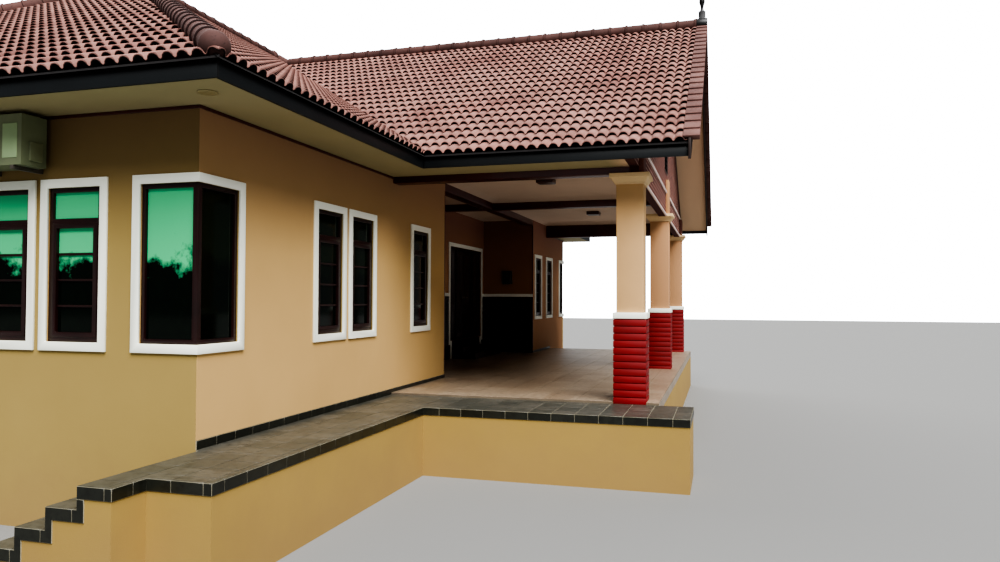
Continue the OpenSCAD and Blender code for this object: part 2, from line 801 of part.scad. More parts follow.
module barge_boards() {
    color([0.22, 0.15, 0.14]) both_verges() run_x(verge_x, verge_x + barge_t)
        translate([porch_eave_y, 0]) polygon([
            [-r, under(-r) - barge_h], [porch_half, under(porch_half) - barge_h],
            [porch_half, top(porch_half)], [-r, top(-r)]
        ]);
}

// Verge tiles lap over the edge of the slope and down the outside of the barge board
module verge_tiles() {
    color([0.5, 0.3, 0.28]) both_verges() {
        verge_strip(verge_x - verge_lap, x_hi, 0);
        verge_strip(verge_x + barge_t, x_hi, verge_drop);
    }
}
module verge_strip(x0, x1, drop) {
    run_x(x0, x1) translate([porch_eave_y, 0]) polygon([
        [-r, top(-r) - drop], [porch_half, top(porch_half) - drop],
        [porch_half, top(porch_half) + verge_up], [-r, top(-r) + verge_up]
    ]);
}

// The finial stands on a half-round tile that closes the end of the porch ridge
finial_side = 140;
finial_block_h = 150;
finial_r = 60;
finial_h = 620;
module finial() {
    z0 = top(porch_half);
    x0 = verge_x - verge_lap;
    block_z = z0 + collar_r - 20;
    saddle = verge_up + seat_gap;
    color([0.1, 0.1, 0.1]) {
        difference() {
            union() {
                translate([x0, ridge_y, z0]) rotate([0, 90, 0]) cylinder(r = collar_r, h = x_hi - x0);
                translate([(x0 + x_hi) / 2 - finial_side / 2, ridge_y - finial_side / 2, block_z])
                    cube([finial_side, finial_side, finial_block_h]);
            }
            run_x(x0 - 1, x_hi + 1) polygon([
                [porch_eave_y, 0], [porch_rear_y, 0], [porch_rear_y, top(0) + saddle],
                [ridge_y, top(porch_half) + saddle], [porch_eave_y, top(0) + saddle]
            ]);
        }
        translate([(x0 + x_hi) / 2, ridge_y, block_z + finial_block_h]) rotate_extrude() polygon([
            [0, 0], [finial_r - 5, 0], [finial_r - 30, 0.1 * finial_h], [finial_r - 30, 0.16 * finial_h],
            [finial_r, 0.33 * finial_h], [0.8 * finial_r, 0.7 * finial_h], [0.35 * finial_r, 0.93 * finial_h],
            [0, finial_h]
        ]);
    }
}

// Windows

module ring(x0, z0, x1, z1, w, y0, y1) {
    difference() {
        block([x0, y0, z0], [x1, y1, z1]);
        block([x0 + w, y0 - 1, z0 + w], [x1 - w, y1 + 1, z1 - w]);
    }
}

module corner_pair() {
    children();
    translate([0, body_l, 0]) mirror([0, 1, 0]) children();
}

module window_surrounds() {
    z0 = win_sill - band_w;
    z1 = win_sill + win_h + band_w;
    lx = corner_leg_x + band_w;
    ly = corner_leg_y + band_w;
    color([0.88, 0.88, 0.8]) {
        for (w = windows) at_window(w)
            ring(-band_w, z0, win_w + band_w, z1, band_w, -band_t, 0);
        corner_pair() difference() {
            block([-lx, -band_t, z0], [band_t, ly, z1]);
            block([-lx - 1, 0, z0 - 1], [0, ly + 1, z1 + 1]);
            block([-corner_leg_x, -band_t - 1, win_sill], [band_t + 1, corner_leg_y, win_sill + win_h]);
        }
    }
}

// Frame with a transom, and an opening sash below it
module window_frames() {
    z1 = win_sill + win_h;
    transom_z = z1 - fanlight_h - frame_w;
    y0 = frame_set;
    y1 = frame_set + frame_d;
    color([0.18, 0.08, 0.08]) {
        for (w = windows) at_window(w) {
            ring(0, win_sill, win_w, z1, frame_w, y0, y1);
            block([frame_w, y0, transom_z], [win_w - frame_w, y1, transom_z + frame_w]);
            ring(frame_w, win_sill + frame_w, win_w - frame_w, transom_z, sash_w,
                y0 - sash_out, y1 - sash_out);
        }
        corner_pair() difference() {
            block([-corner_leg_x, y0, win_sill], [-y0, corner_leg_y, z1]);
            block([-corner_leg_x - 1, y1, win_sill - 1], [-y1, corner_leg_y + 1, z1 + 1]);
            block([-corner_leg_x + frame_w, y0 - 1, win_sill + frame_w], [-y1, y1 + 1, z1 - frame_w]);
            block([-y1 - 1, y1, win_sill + frame_w], [-y0 + 1, corner_leg_y - frame_w, z1 - frame_w]);
        }
    }
}

module window_glass() {
    z1 = win_sill + win_h;
    y0 = frame_set + frame_d / 2;
    edge = frame_w + sash_w;
    color([0.2, 0.45, 0.36, 0.8]) {
        for (w = windows) at_window(w) {
            block([edge, y0, win_sill + edge], [win_w - edge, y0 + glass_t, z1 - fanlight_h - edge]);
            block([frame_w, y0, z1 - fanlight_h], [win_w - frame_w, y0 + glass_t, z1 - frame_w]);
        }
        corner_pair() {
            block([-corner_leg_x + frame_w, y0, win_sill + frame_w],
                [-frame_set - frame_d, y0 + glass_t, z1 - frame_w]);
            block([-y0 - glass_t, frame_set + frame_d, win_sill + frame_w],
                [-y0, corner_leg_y - frame_w, z1 - frame_w]);
        }
    }
}

// Entrance door

door_y1 = door_y + door_w;
door_z1 = floor_rise + door_h;
leaf_y0 = door_y + 2 * post_w + side_panel_w;
leaf_y1 = door_y1 - 2 * post_w - side_panel_w;
leaf_mid = (leaf_y0 + leaf_y1) / 2;
frame_x1 = -recess_d - 20;
frame_x0 = frame_x1 - door_frame_d;
sill_t = 20;
leaf_z0 = floor_rise + sill_t + leaf_gap;
leaf_z1 = door_z1 - post_w - leaf_gap;
// The hinge axis stands a little inside the frame's inner face
knuckle_r = pin_r + 5;
flap_t = 4;
hinge_x = frame_x0 - knuckle_r - 1;
hinge_h = 120;
hinge_z = [leaf_z0 + 200, (leaf_z0 + leaf_z1) / 2, leaf_z1 - 200 - hinge_h];

module door_surround() {
    x = -recess_d;
    z0 = floor_rise;
    edge_y0 = door_y - band_w + entry_inset - band_w;
    color([0.88, 0.88, 0.8]) {
        block([x, door_y - band_w, z0], [x + band_t, door_y, door_z1 + band_w]);
        block([x, door_y1, z0], [x + band_t, door_y1 + band_w, door_z1 + band_w]);
        block([x, door_y, door_z1], [x + band_t, door_y1, door_z1 + band_w]);
        for (y = [door_y - band_w, door_y1 + band_w - entry_inset])
            block([x, y, z0 - band_w], [x + band_t, y + entry_inset, z0]);
        for (y = [edge_y0, door_y1 + band_w - entry_inset])
            block([x, y, 0], [x + band_t, y + band_w, z0 - band_w]);
    }
}

module door_frame() {
    module post(y) { block([frame_x0, y, floor_rise], [frame_x1, y + post_w, door_z1]); }
    color([0.18, 0.08, 0.08]) union() {
        for (y = [door_y, door_y + post_w + side_panel_w, leaf_y1, door_y1 - post_w]) post(y);
        block([frame_x0, door_y, door_z1 - post_w], [frame_x1, door_y1, door_z1]);
        block([frame_x0, door_y, floor_rise], [frame_x1, door_y1, floor_rise + sill_t]);
        for (s = [0, 1]) for (z = hinge_z) mirrored_hinge(s) {
            translate([0, 0, z]) cylinder(r = pin_r, h = hinge_h);
            translate([0, 0, z]) cylinder(r = knuckle_r, h = hinge_h / 2 - 0.5);
            block([knuckle_r - flap_t, -30, z], [knuckle_r + 1, 0, z + hinge_h / 2 - 0.5]);
        }
    }
}

// Hinge frame: axis at the origin, leaf towards +Y, outside towards +X
module mirrored_hinge(s) {
    translate([hinge_x, s == 0 ? leaf_y0 + leaf_gap / 2 : leaf_y1 - leaf_gap / 2, 0])
        mirror([0, s, 0]) children();
}

module door_panel(w, z0, z1) {
    stile = 90;
    recess = 12;
    rail_z = z0 + (z1 - z0) * 0.36;
    difference() {
        block([0, 0, z0], [leaf_t, w, z1]);
        for (x = [-1, leaf_t - recess]) {
            block([x, stile, z0 + 160], [x + recess + 1, w - stile, rail_z - 50]);
            block([x, stile, rail_z + 50], [x + recess + 1, w - stile, z1 - 100]);
        }
    }
}

module door_side_panels() {
    color([0.18, 0.08, 0.08]) for (y = [door_y + post_w, door_y1 - post_w - side_panel_w])
        translate([frame_x0 + 20, y, 0]) door_panel(side_panel_w, floor_rise + sill_t, door_z1 - post_w);
}

module leaf_shape(s) {
    w = leaf_mid - leaf_y0 - 1.5 * leaf_gap;
    color([0.18, 0.08, 0.08]) mirrored_hinge(s) {
        translate([knuckle_r + 1, leaf_gap / 2, 0]) door_panel(w, leaf_z0, leaf_z1);
        for (z = hinge_z) translate([0, 0, z + hinge_h / 2 + 0.5]) difference() {
            union() {
                cylinder(r = knuckle_r, h = hinge_h / 2 - 0.5);
                block([knuckle_r - flap_t, 0, 0], [knuckle_r + 1, 35, hinge_h / 2 - 0.5]);
            }
            translate([0, 0, -1]) cylinder(r = pin_r + pin_gap, h = hinge_h);
        }
    }
}
module door_leaf_left() { leaf_shape(0); }
module door_leaf_right() { leaf_shape(1); }

// Trims and fittings

dado_h = 1465;
dado_t = 12;
rail_h = 80;
rail_t = 25;
// Dado outline round the recess, at a distance out from the wall faces
module dado_walls(t, z0, z1) {
    block([-recess_d, recess_y0, z0], [-recess_d + t, door_y - band_w, z1]);
    block([-recess_d, door_y1 + band_w, z0], [-recess_d + t, recess_y1, z1]);
    block([-recess_d + t, recess_y1 - t, z0], [0, recess_y1, z1]);
    block([-recess_d + t, recess_y0, z0], [0, recess_y0 + t, z1]);
}
module dado_tiles() {
    z1 = floor_rise - band_w;
    color([0.25, 0.09, 0.08]) {
        dado_walls(dado_t, 0, dado_h);
        block([-recess_d, door_y - band_w, 0], [-recess_d + dado_t, door_y - 2 * band_w + entry_inset, z1]);
        block([-recess_d, door_y1 + 2 * band_w - entry_inset, 0], [-recess_d + dado_t, door_y1 + band_w, z1]);
    }
}
module dado_rail() { color([0.88, 0.86, 0.8]) dado_walls(rail_t, dado_h, dado_h + rail_h); }

module skirting_tiles() {
    h = 58;
    color([0.2, 0.2, 0.2]) {
        block([0, 0, walk_top], [dado_t, porch_edge, h]);
        block([0, porch_edge, 0], [dado_t, recess_y0, h]);
        block([0, recess_y1, 0], [dado_t, porch_floor_y1, h]);
    }
}

unit_w = 780;
unit_d = 290;
unit_h = 500;
unit_x = -2550;
unit_clear = 46;
unit_z = soffit_h - unit_clear - unit_h;
unit_gap = 60;
fan_r = 215;
fan_x = unit_x + 290;
fan_depth = 30;
module condenser_unit() {
    guard = 6;
    front = -unit_gap - unit_d;
    color([0.72, 0.76, 0.68]) difference() {
        block([unit_x, front, unit_z], [unit_x + unit_w, -unit_gap, unit_z + unit_h]);
        translate([fan_x, front - 1, unit_z + unit_h / 2]) rotate([-90, 0, 0]) difference() {
            cylinder(r = fan_r, h = fan_depth + 1, $fn = 64);
            cylinder(r = fan_r / 4, h = fan_depth + 1);
            for (i = [1:3]) difference() {
                cylinder(r = fan_r * (i + 1) / 5 + guard, h = guard + 1, $fn = 64);
                translate([0, 0, -1]) cylinder(r = fan_r * (i + 1) / 5, h = guard + 3, $fn = 64);
            }
            for (a = [0:45:135]) rotate(a) translate([-fan_r, -guard / 2, 0])
                cube([2 * fan_r, guard, guard + 1]);
        }
    }
}
module condenser_bracket() {
    arm = 40;
    plate_t = 8;
    color([0.3, 0.28, 0.25]) for (x = [unit_x + unit_w / 8, unit_x + 7 * unit_w / 8 - arm]) {
        block([x, -unit_gap - unit_d, unit_z - arm], [x + arm, 0, unit_z]);
        block([x, -plate_t, unit_z], [x + arm, 0, unit_z + 0.4 * unit_h]);
    }
}

meter_w = 240;
meter_d = 110;
meter_h = 350;
meter_x = -800;
meter_z = 1800;
module meter_box() {
    color([0.15, 0.14, 0.14])
        block([meter_x, recess_y1 - meter_d, meter_z], [meter_x + meter_w, recess_y1, meter_z + meter_h]);
}

on_ground() walkway_base();
on_ground() walkway_tiles();
on_ground() side_steps();
on_ground() step_tiles();
on_ground() porch_base();
on_ground() porch_floor();
on_ground() entrance_steps();
on_ground() ground_floor();
on_ground() front_wall();
on_ground() front_right_wall();
on_ground() recess_return_wall();
on_ground() door_wall_front();
on_ground() door_wall_rear();
on_ground() door_wall_middle();
on_ground() recess_end_wall();
on_ground() rear_right_wall();
on_ground() rear_wall();
on_ground() left_wall();
on_ground() column_bases();
on_ground() column_bands();
on_ground() column_shafts();
on_ground() column_capitals();
on_ground() front_beam();
on_ground() middle_beam();
on_ground() rear_beam();
on_ground() recess_beam();
on_ground() porch_ceiling();
on_ground() ceiling_lights();
on_ground() gable_wall();
on_ground() gable_mouldings();
on_ground() gable_vent();
on_ground() main_roof_front();
on_ground() main_roof_right();
on_ground() main_roof_left();
on_ground() main_roof_rear();
on_ground() porch_roof_front();
on_ground() porch_roof_rear();
on_ground() ridge_tiles();
on_ground() verge_tiles();
on_ground() soffits();
on_ground() fascias();
on_ground() barge_boards();
on_ground() gable_covers();
on_ground() finial();
on_ground() window_surrounds();
on_ground() window_frames();
on_ground() window_glass();
on_ground() door_surround();
on_ground() door_frame();
on_ground() door_side_panels();
on_ground() door_leaf_left();
on_ground() door_leaf_right();
on_ground() dado_tiles();
on_ground() dado_rail();
on_ground() skirting_tiles();
on_ground() condenser_unit();
on_ground() condenser_bracket();
on_ground() meter_box();
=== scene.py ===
# %% [markdown]
# # A bungalow with a hipped roof and a gabled porch
# The house is rendered brick under concrete tiles. Its solids are already cut and placed, so this
# lesson dresses them: it lays every roof tile in rolls and courses, turns the ridge and hip tiles,
# sets bricks in the gable and tiles on the floors, and gives each surface its own finish.
# The solids come first because every dressed piece is placed by their boxes.

# %% Load the solids
import math

import bmesh
import bpy
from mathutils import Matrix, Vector


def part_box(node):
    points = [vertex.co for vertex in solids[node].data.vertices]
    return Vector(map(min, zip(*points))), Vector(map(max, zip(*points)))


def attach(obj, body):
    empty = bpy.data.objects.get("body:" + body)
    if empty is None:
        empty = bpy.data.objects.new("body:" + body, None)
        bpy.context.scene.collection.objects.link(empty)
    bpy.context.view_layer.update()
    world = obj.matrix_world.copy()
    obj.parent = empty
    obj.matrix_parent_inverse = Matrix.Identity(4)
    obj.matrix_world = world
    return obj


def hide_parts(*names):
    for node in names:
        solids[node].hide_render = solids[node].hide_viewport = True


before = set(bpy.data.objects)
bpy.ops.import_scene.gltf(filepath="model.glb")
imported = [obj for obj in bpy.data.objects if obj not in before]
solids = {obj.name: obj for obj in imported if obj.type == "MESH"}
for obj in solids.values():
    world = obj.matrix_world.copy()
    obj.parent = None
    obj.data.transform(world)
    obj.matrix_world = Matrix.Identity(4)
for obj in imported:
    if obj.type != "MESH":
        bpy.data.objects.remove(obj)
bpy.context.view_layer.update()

# %% [markdown]
# The corner where the front wall meets the right wall, at the height of the porch floor, is the
# point that a builder would measure from. All places below are given from it, in metres: X to the
# right, Y into the depth and Z up. The boxes of two solids tell where that corner is.

# %% Measure from the front right corner
CORNER_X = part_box("front_wall")[1].x
CORNER_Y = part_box("front_wall")[0].y
FLOOR_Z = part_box("porch_floor")[1].z


def here(x, y, z):
    """A place given from the front right corner, in the scene's own metres."""
    return Vector((CORNER_X + x, CORNER_Y + y, FLOOR_Z + z))


print("the corner is at", [round(v, 4) for v in here(0, 0, 0)])

# %% [markdown]
# The camera stands in front of the house, a little right of the corner, and looks slightly to the
# left. The lens is a wide one of about 27 mm. The camera is made first so that every later step can
# be looked at from where the photograph was taken.

# %% Set up the camera
EYE = here(4.767, -6.12, 1.405)
GAZE = [math.radians(angle) for angle in (91.36, -0.21, 16.23)]  # tilt, roll and heading

bpy.ops.object.select_all(action="DESELECT")
bpy.ops.object.camera_add(location=EYE, rotation=GAZE)
camera = bpy.context.object
camera.name = "Camera"
camera.data.lens = 27.39
camera.data.sensor_width = 36.0
camera.data.clip_end = 200.0
bpy.context.scene.camera = camera
print("camera at", [round(v, 3) for v in camera.location])

# %% [markdown]
# Most steps repeat a few moves: choose faces by their place, work on them in edit mode, repeat a
# shape along a line, hand the finished piece over. Each move gets a short helper, so that the
# steps below read as a maker would tell them. Faces are chosen by a test on their middle point and
# their normal, because a script has no hand to click with.

# %% Helpers for selecting
SIDE = Vector((1, 0, 0))
DEEP = Vector((0, 1, 0))
UP = Vector((0, 0, 1))


def only(*objs):
    """Select these objects alone; the first is the active one."""
    bpy.ops.object.select_all(action="DESELECT")
    for obj in objs:
        obj.select_set(True)
    bpy.context.view_layer.objects.active = objs[0]


def edit(obj):
    """Go into edit mode with all faces selected."""
    only(obj)
    bpy.ops.object.mode_set(mode="EDIT")
    bpy.ops.mesh.select_mode(type="FACE")
    bpy.ops.mesh.select_all(action="SELECT")


def done():
    bpy.ops.object.mode_set(mode="OBJECT")
    return bpy.context.object


def choose(test):
    """In edit mode, select the faces whose middle point and normal pass the test."""
    mesh = bmesh.from_edit_mesh(bpy.context.object.data)
    for face in mesh.faces:
        face.select_set(bool(test(face.calc_center_median(), face.normal)))
    mesh.select_flush_mode()
    bmesh.update_edit_mesh(bpy.context.object.data)


def choose_points(test):
    """In edit mode, select the points that pass the test."""
    bpy.ops.mesh.select_mode(type="VERT")
    bpy.ops.mesh.select_all(action="DESELECT")
    mesh = bmesh.from_edit_mesh(bpy.context.object.data)
    for point in mesh.verts:
        point.select_set(bool(test(point.co)))
    bmesh.update_edit_mesh(bpy.context.object.data)


print("faces and points can be chosen")

# %% [markdown]
# A piece is shaped by modifiers that are applied at once, by cuts, and by being turned and moved.
# The place of a piece ends up in its mesh, so its object stays at the origin like those of the
# solids, and a pattern on Object coordinates means the same on all of them.

# %% Helpers for shaping
def finish_with(obj, kind, **settings):
    """Add a modifier, set it up and apply it."""
    only(obj)
    modifier = obj.modifiers.new(kind.title(), kind)
    for key, value in settings.items():
        setattr(modifier, key, value)
    bpy.ops.object.modifier_apply(modifier=modifier.name)


def repeat(obj, count, step, merge=0.0):
    finish_with(
        obj, "ARRAY", count=count, use_relative_offset=False, use_constant_offset=True,
        constant_offset_displace=step, use_merge_vertices=merge > 0, merge_threshold=max(merge, 0.0001),
    )


def smooth(obj, angle):
    """Shade smooth where faces meet at a lower angle than this."""
    only(obj)
    bpy.ops.object.shade_smooth_by_angle(angle=math.radians(angle))


def soften(obj, width, segments=2, angle=30):
    """Round the sharp edges, then shade smooth."""
    finish_with(
        obj, "BEVEL", width=width, segments=segments, limit_method="ANGLE", angle_limit=math.radians(angle),
        use_clamp_overlap=True,
    )
    smooth(obj, angle)


def cut_away(obj, point, way_out, fill=False):
    """Cut by a plane and take away the side that way_out points to."""
    edit(obj)
    bpy.ops.mesh.bisect(plane_co=point, plane_no=way_out, clear_outer=True, use_fill=fill)
    done()


def face_outwards(obj):
    edit(obj)
    bpy.ops.mesh.normals_make_consistent(inside=False)
    done()


def settle():
    """Keep the place, turn and scale of the selected piece in its mesh."""
    bpy.ops.object.transform_apply(location=True, rotation=True, scale=True)


def put(obj, place=(0, 0, 0), turn=(0, 0, 0)):
    """Turn and move a piece."""
    only(obj)
    obj.rotation_euler = turn
    obj.location = place
    settle()
    return obj


print("pieces can be shaped")

# %% [markdown]
# The last helpers start a piece and hand it over. A piece starts as a block, as a copy of another
# piece, or as a copy of a solid whose loose triangles are merged into whole faces. When it is
# finished it gets its material, the body that it moves with, and the solids that it stands for.

# %% Helpers for starting and handing over
def box(name, low, high):
    """A block between two corners, to be shaped further."""
    low, high = Vector(low), Vector(high)
    bpy.ops.mesh.primitive_cube_add(size=1, location=(low + high) / 2, scale=high - low)
    settle()
    bpy.context.object.name = name
    return bpy.context.object


def join(name, *objs):
    only(*objs)
    bpy.ops.object.join()
    bpy.context.object.name = name
    return bpy.context.object


def twin(obj):
    """A copy with its own mesh."""
    only(obj)
    bpy.ops.object.duplicate()
    return bpy.context.object


def copy_solid(node_name, name):
    """A copy of a solid, its loose triangles merged into whole faces."""
    piece = bpy.data.objects.new(name, solids[node_name].data.copy())
    bpy.context.collection.objects.link(piece)
    piece.data.materials.clear()
    only(piece)
    bpy.ops.mesh.customdata_custom_splitnormals_clear()
    edit(piece)
    bpy.ops.mesh.remove_doubles(threshold=0.00001)
    bpy.ops.mesh.dissolve_limited(angle_limit=math.radians(0.5))
    return done()


def coat(obj, material):
    """Give a whole piece one material."""
    obj.data.materials.clear()
    obj.data.materials.append(material)


def hand_over(obj, material, slot, *nodes, body="house"):
    """Give a finished piece its material, its body and the solids that it stands for; slot is not used."""
    if material:
        coat(obj, material)
    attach(obj, body)
    if nodes:
        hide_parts(*nodes)
    print(obj.name, sum(len(face.vertices) - 2 for face in obj.data.polygons), "triangles")


def dress(node_name, material, slot, width=0.004, segments=2, body="house", name=None):
    """Stand a copy of a solid in its place, with its edges rounded."""
    piece = copy_solid(node_name, name or node_name.capitalize() + "_dressed")
    soften(piece, width, segments)
    hand_over(piece, material, slot, node_name, body=body)
    return piece


print("pieces can be handed over")

# %% [markdown]
# A finish is built from a few nodes. Noise in two sizes breaks up the colour, as sun and rain do,
# and a finer noise lifts the surface a little. All patterns read Object coordinates, so they stay
# where they are on the house and keep their real scale. First come short names for the nodes.

# %% Helpers for nodes
def shader_of(material):
    return material.node_tree.nodes["Principled BSDF"]


def finish(name, colour, roughness=0.6, gloss=0.0):
    """A new material; gloss is the weight of a clear coat over it."""
    material = bpy.data.materials.new(name)
    material.use_nodes = True
    shader = shader_of(material)
    shader.inputs["Base Color"].default_value = (*colour, 1)
    shader.inputs["Roughness"].default_value = roughness
    shader.inputs["Coat Weight"].default_value = gloss
    return material


def node(material, kind, inputs=None, **settings):
    """A new node; inputs holds values for its sockets, or outputs of other nodes to wire in."""
    made = material.node_tree.nodes.new(kind)
    for key, value in settings.items():
        setattr(made, key, value)
    for key, value in (inputs or {}).items():
        if isinstance(value, bpy.types.NodeSocket):
            material.node_tree.links.new(value, made.inputs[key])
        else:
            made.inputs[key].default_value = value
    return made


def places(material):
    return node(material, "ShaderNodeTexCoord").outputs["Object"]


def normals(material):
    return node(material, "ShaderNodeNewGeometry").outputs["Normal"]


def axis_of(material, vector, axis):
    """One of the three numbers of a vector, named X, Y or Z."""
    return node(material, "ShaderNodeSeparateXYZ", {0: vector}).outputs[axis]


def along(material, vector, direction):
    """How far a vector reaches in a direction."""
    made = node(material, "ShaderNodeVectorMath", {0: vector, 1: direction}, operation="DOT_PRODUCT")
    return made.outputs["Value"]


def reckon(material, operation, *values):
    return node(material, "ShaderNodeMath", dict(enumerate(values)), operation=operation).outputs[0]


def noise(material, scale, detail=4.0, roughness=0.55):
    return node(
        material, "ShaderNodeTexNoise",
        {"Vector": places(material), "Scale": scale, "Detail": detail, "Roughness": roughness},
    ).outputs["Fac"]


def own_tone(material, number):
    """A grey value that is different for each whole number or cell."""
    made = node(material, "ShaderNodeTexWhiteNoise", {"Vector": number}, noise_dimensions="3D")
    return made.outputs["Value"]


def sharpen(material, value, low, high):
    """Stretch a grey value so that low becomes 0 and high becomes 1."""
    return node(
        material, "ShaderNodeMapRange", {"Value": value, "From Min": low, "From Max": high}
    ).outputs["Result"]


def blend(material, factor, first, second, mode="MIX"):
    """Mix two colours; each may be a colour or another node's output."""
    made = node(material, "ShaderNodeMix", data_type="RGBA", blend_type=mode)
    for socket, value in ((made.inputs[0], factor), (made.inputs[6], first), (made.inputs[7], second)):
        if isinstance(value, bpy.types.NodeSocket):
            material.node_tree.links.new(value, socket)
        else:
            socket.default_value = (*value, 1) if isinstance(value, tuple) else value
    return made.outputs[2]


print("nodes can be wired")

# %% [markdown]
# With these nodes a few whole finishes can be mixed. The plain one has soft clouds of tone and a
# fine grain, and most painted things need no more. Another fades a second colour in between two
# places of the house, for paint that looks different in the open and in the shade.

# %% Helpers for finishes
def wear(material, colour, bump=None, strength=0.2, depth=0.002):
    """Wire a colour, and if given a height, into the material's shader."""
    shader = shader_of(material)
    material.node_tree.links.new(colour, shader.inputs["Base Color"])
    if bump is not None:
        lift = node(material, "ShaderNodeBump", {"Height": bump, "Strength": strength, "Distance": depth})
        material.node_tree.links.new(lift.outputs["Normal"], shader.inputs["Normal"])
    return material


def worn_colour(material):
    """What is wired into the material's colour now."""
    return shader_of(material).inputs["Base Color"].links[0].from_socket


def srgb(*values):
    """A colour read from a picture as 0 to 255, in the linear values that a shader takes."""
    return tuple((v / 255 / 12.92) if v < 10.3 else ((v / 255 + 0.055) / 1.055) ** 2.4 for v in values)


def mottled(name, colour, spread=0.12, scale=1.5, roughness=0.6, grain=60.0, strength=0.2, gloss=0.0):
    """A plain finish with soft clouds of tone and a fine grain."""
    material = finish(name, colour, roughness, gloss)
    dark = tuple(v * (1 - spread) for v in colour)
    light = tuple(min(1.0, v * (1 + spread)) for v in colour)
    tone = blend(material, sharpen(material, noise(material, scale), 0.3, 0.7), dark, light)
    return wear(material, tone, bump=noise(material, grain, 6.0), strength=strength)


def painted_over(material, axis, low, high, colour):
    """Fade another colour in between two places along one axis of the house."""
    fade = sharpen(material, axis_of(material, places(material), axis), low, high)
    return wear(material, blend(material, fade, worn_colour(material), colour))


print("finishes can be mixed")

# %% [markdown]
# The house stands on a plain floor under a bright, even sky. One soft lamp shines from the front
# right and gives the walls and the tile rolls a gentle direction, and a weaker one shines from
# behind. Both are sun lamps, so that the floor stays lit as far as one can see. The sky is white to
# look at but lights the house only weakly, because under the deep eaves of the real house the shade
# is strong. A Light Path node tells the two apart.

# %% Lay the floor and hang the lamps
SKY_SEEN, SKY_LIGHT = 6.0, 0.17  # the sky's strength to the eye, and as light on the house

bpy.ops.mesh.primitive_plane_add(size=160.0, location=(0, 0, 0))
floor = bpy.context.object
floor.name = "Studio_floor"
coat(floor, finish("Pale_floor", (0.20, 0.20, 0.195), 0.9))

world = bpy.data.worlds.new("Soft_sky")
bpy.context.scene.world = world
world.use_nodes = True
seen = node(world, "ShaderNodeLightPath").outputs["Is Camera Ray"]
strength = node(world, "ShaderNodeMapRange", {"Value": seen, "To Min": SKY_LIGHT, "To Max": SKY_SEEN})
sky = world.node_tree.nodes["Background"]
sky.inputs["Color"].default_value = (0.93, 0.96, 1.0, 1)
world.node_tree.links.new(strength.outputs["Result"], sky.inputs["Strength"])
bpy.context.scene.view_settings.look = "AgX - High Contrast"


def soft_sun(name, direction, strength, spread):
    """A far lamp that shines from a direction; its spread in degrees softens the shadows."""
    bpy.ops.object.light_add(type="SUN", location=direction)
    lamp = bpy.context.object
    lamp.name = name
    lamp.data.energy = strength
    lamp.data.angle = math.radians(spread)
    lamp.rotation_euler = Vector(direction).to_track_quat("Z", "Y").to_euler()


soft_sun("Sky_lamp", (15, -19, 33), 6.6, 48)
soft_sun("Rear_lamp", (-16, 26, 28), 1.8, 60)
print("floor and two lamps are in place")

# %% [markdown]
# ## Roof
# The roof is covered with interlocking concrete tiles. Each tile carries two rolls, 150 mm apart,
# and the rolls stand in straight columns from eave to ridge. Each course laps the one below by its
# nose, which rests on the pans and leaves a dark, lens-shaped mouth under every roll.
# One cell of this pattern is shaped from a small grid, repeated across and up the slope, cut along
# the hips and valleys while it is still a thin sheet, and only then given its thickness.

# %% Shape one roll of a tile
ROLL = 0.150
GAUGE = 0.318
TILE = 0.016
PITCH = math.radians(30.5)
ROLL_SECTION = [  # distance from the middle of the roll, share of its height
    (-0.075, 0.0), (-0.065, 0.08), (-0.050, 0.55), (-0.027, 0.90), (0.0, 1.0),
    (0.027, 0.90), (0.050, 0.55), (0.065, 0.08), (0.075, 0.0),
]
NOSE_LAP = 0.012
NOSE_HIGH, HEAD_HIGH = 0.056, 0.030  # height of the roll at the two ends of a course
OUT_OF_THE_WAY = 100


def roll_cell():
    """One roll wide and one course long, its nose at the front, its pans at height 0 at the head."""
    bpy.ops.mesh.primitive_grid_add(x_subdivisions=len(ROLL_SECTION) - 1, y_subdivisions=1, size=1)
    cell = bpy.context.object
    cell.scale = (ROLL, GAUGE + NOSE_LAP, 1)
    cell.location = (ROLL / 2, (GAUGE - NOSE_LAP) / 2, 0)
    settle()
    edit(cell)
    columns = [i * ROLL / (len(ROLL_SECTION) - 1) for i in range(len(ROLL_SECTION))]
    for column, (distance, share) in zip(columns, ROLL_SECTION):
        for nose in (True, False):
            choose_points(lambda p: abs(p.x - column) < 0.001 and (p.y < 0) == nose)
            rise = TILE + NOSE_HIGH * share if nose else HEAD_HIGH * share
            bpy.ops.transform.translate(value=(0, 0, rise))
    # The grid's columns move to their places in the section. Each is lifted out of the way at once,
    # so that no later column picks it up again, and in the end all come down together.
    for column, (distance, share) in zip(columns, ROLL_SECTION):
        choose_points(lambda p: abs(p.x - column) < 0.0005 and p.z < OUT_OF_THE_WAY / 10)
        bpy.ops.transform.translate(value=(distance + ROLL / 2 - column, 0, OUT_OF_THE_WAY))
    bpy.ops.mesh.select_all(action="SELECT")
    bpy.ops.transform.translate(value=(0, 0, -OUT_OF_THE_WAY))
    return done()


first_cell = roll_cell()
nose_top = max(point.co.z for point in first_cell.data.vertices)
print("one cell has", len(first_cell.data.polygons), "faces; nose height", round(nose_top, 4))
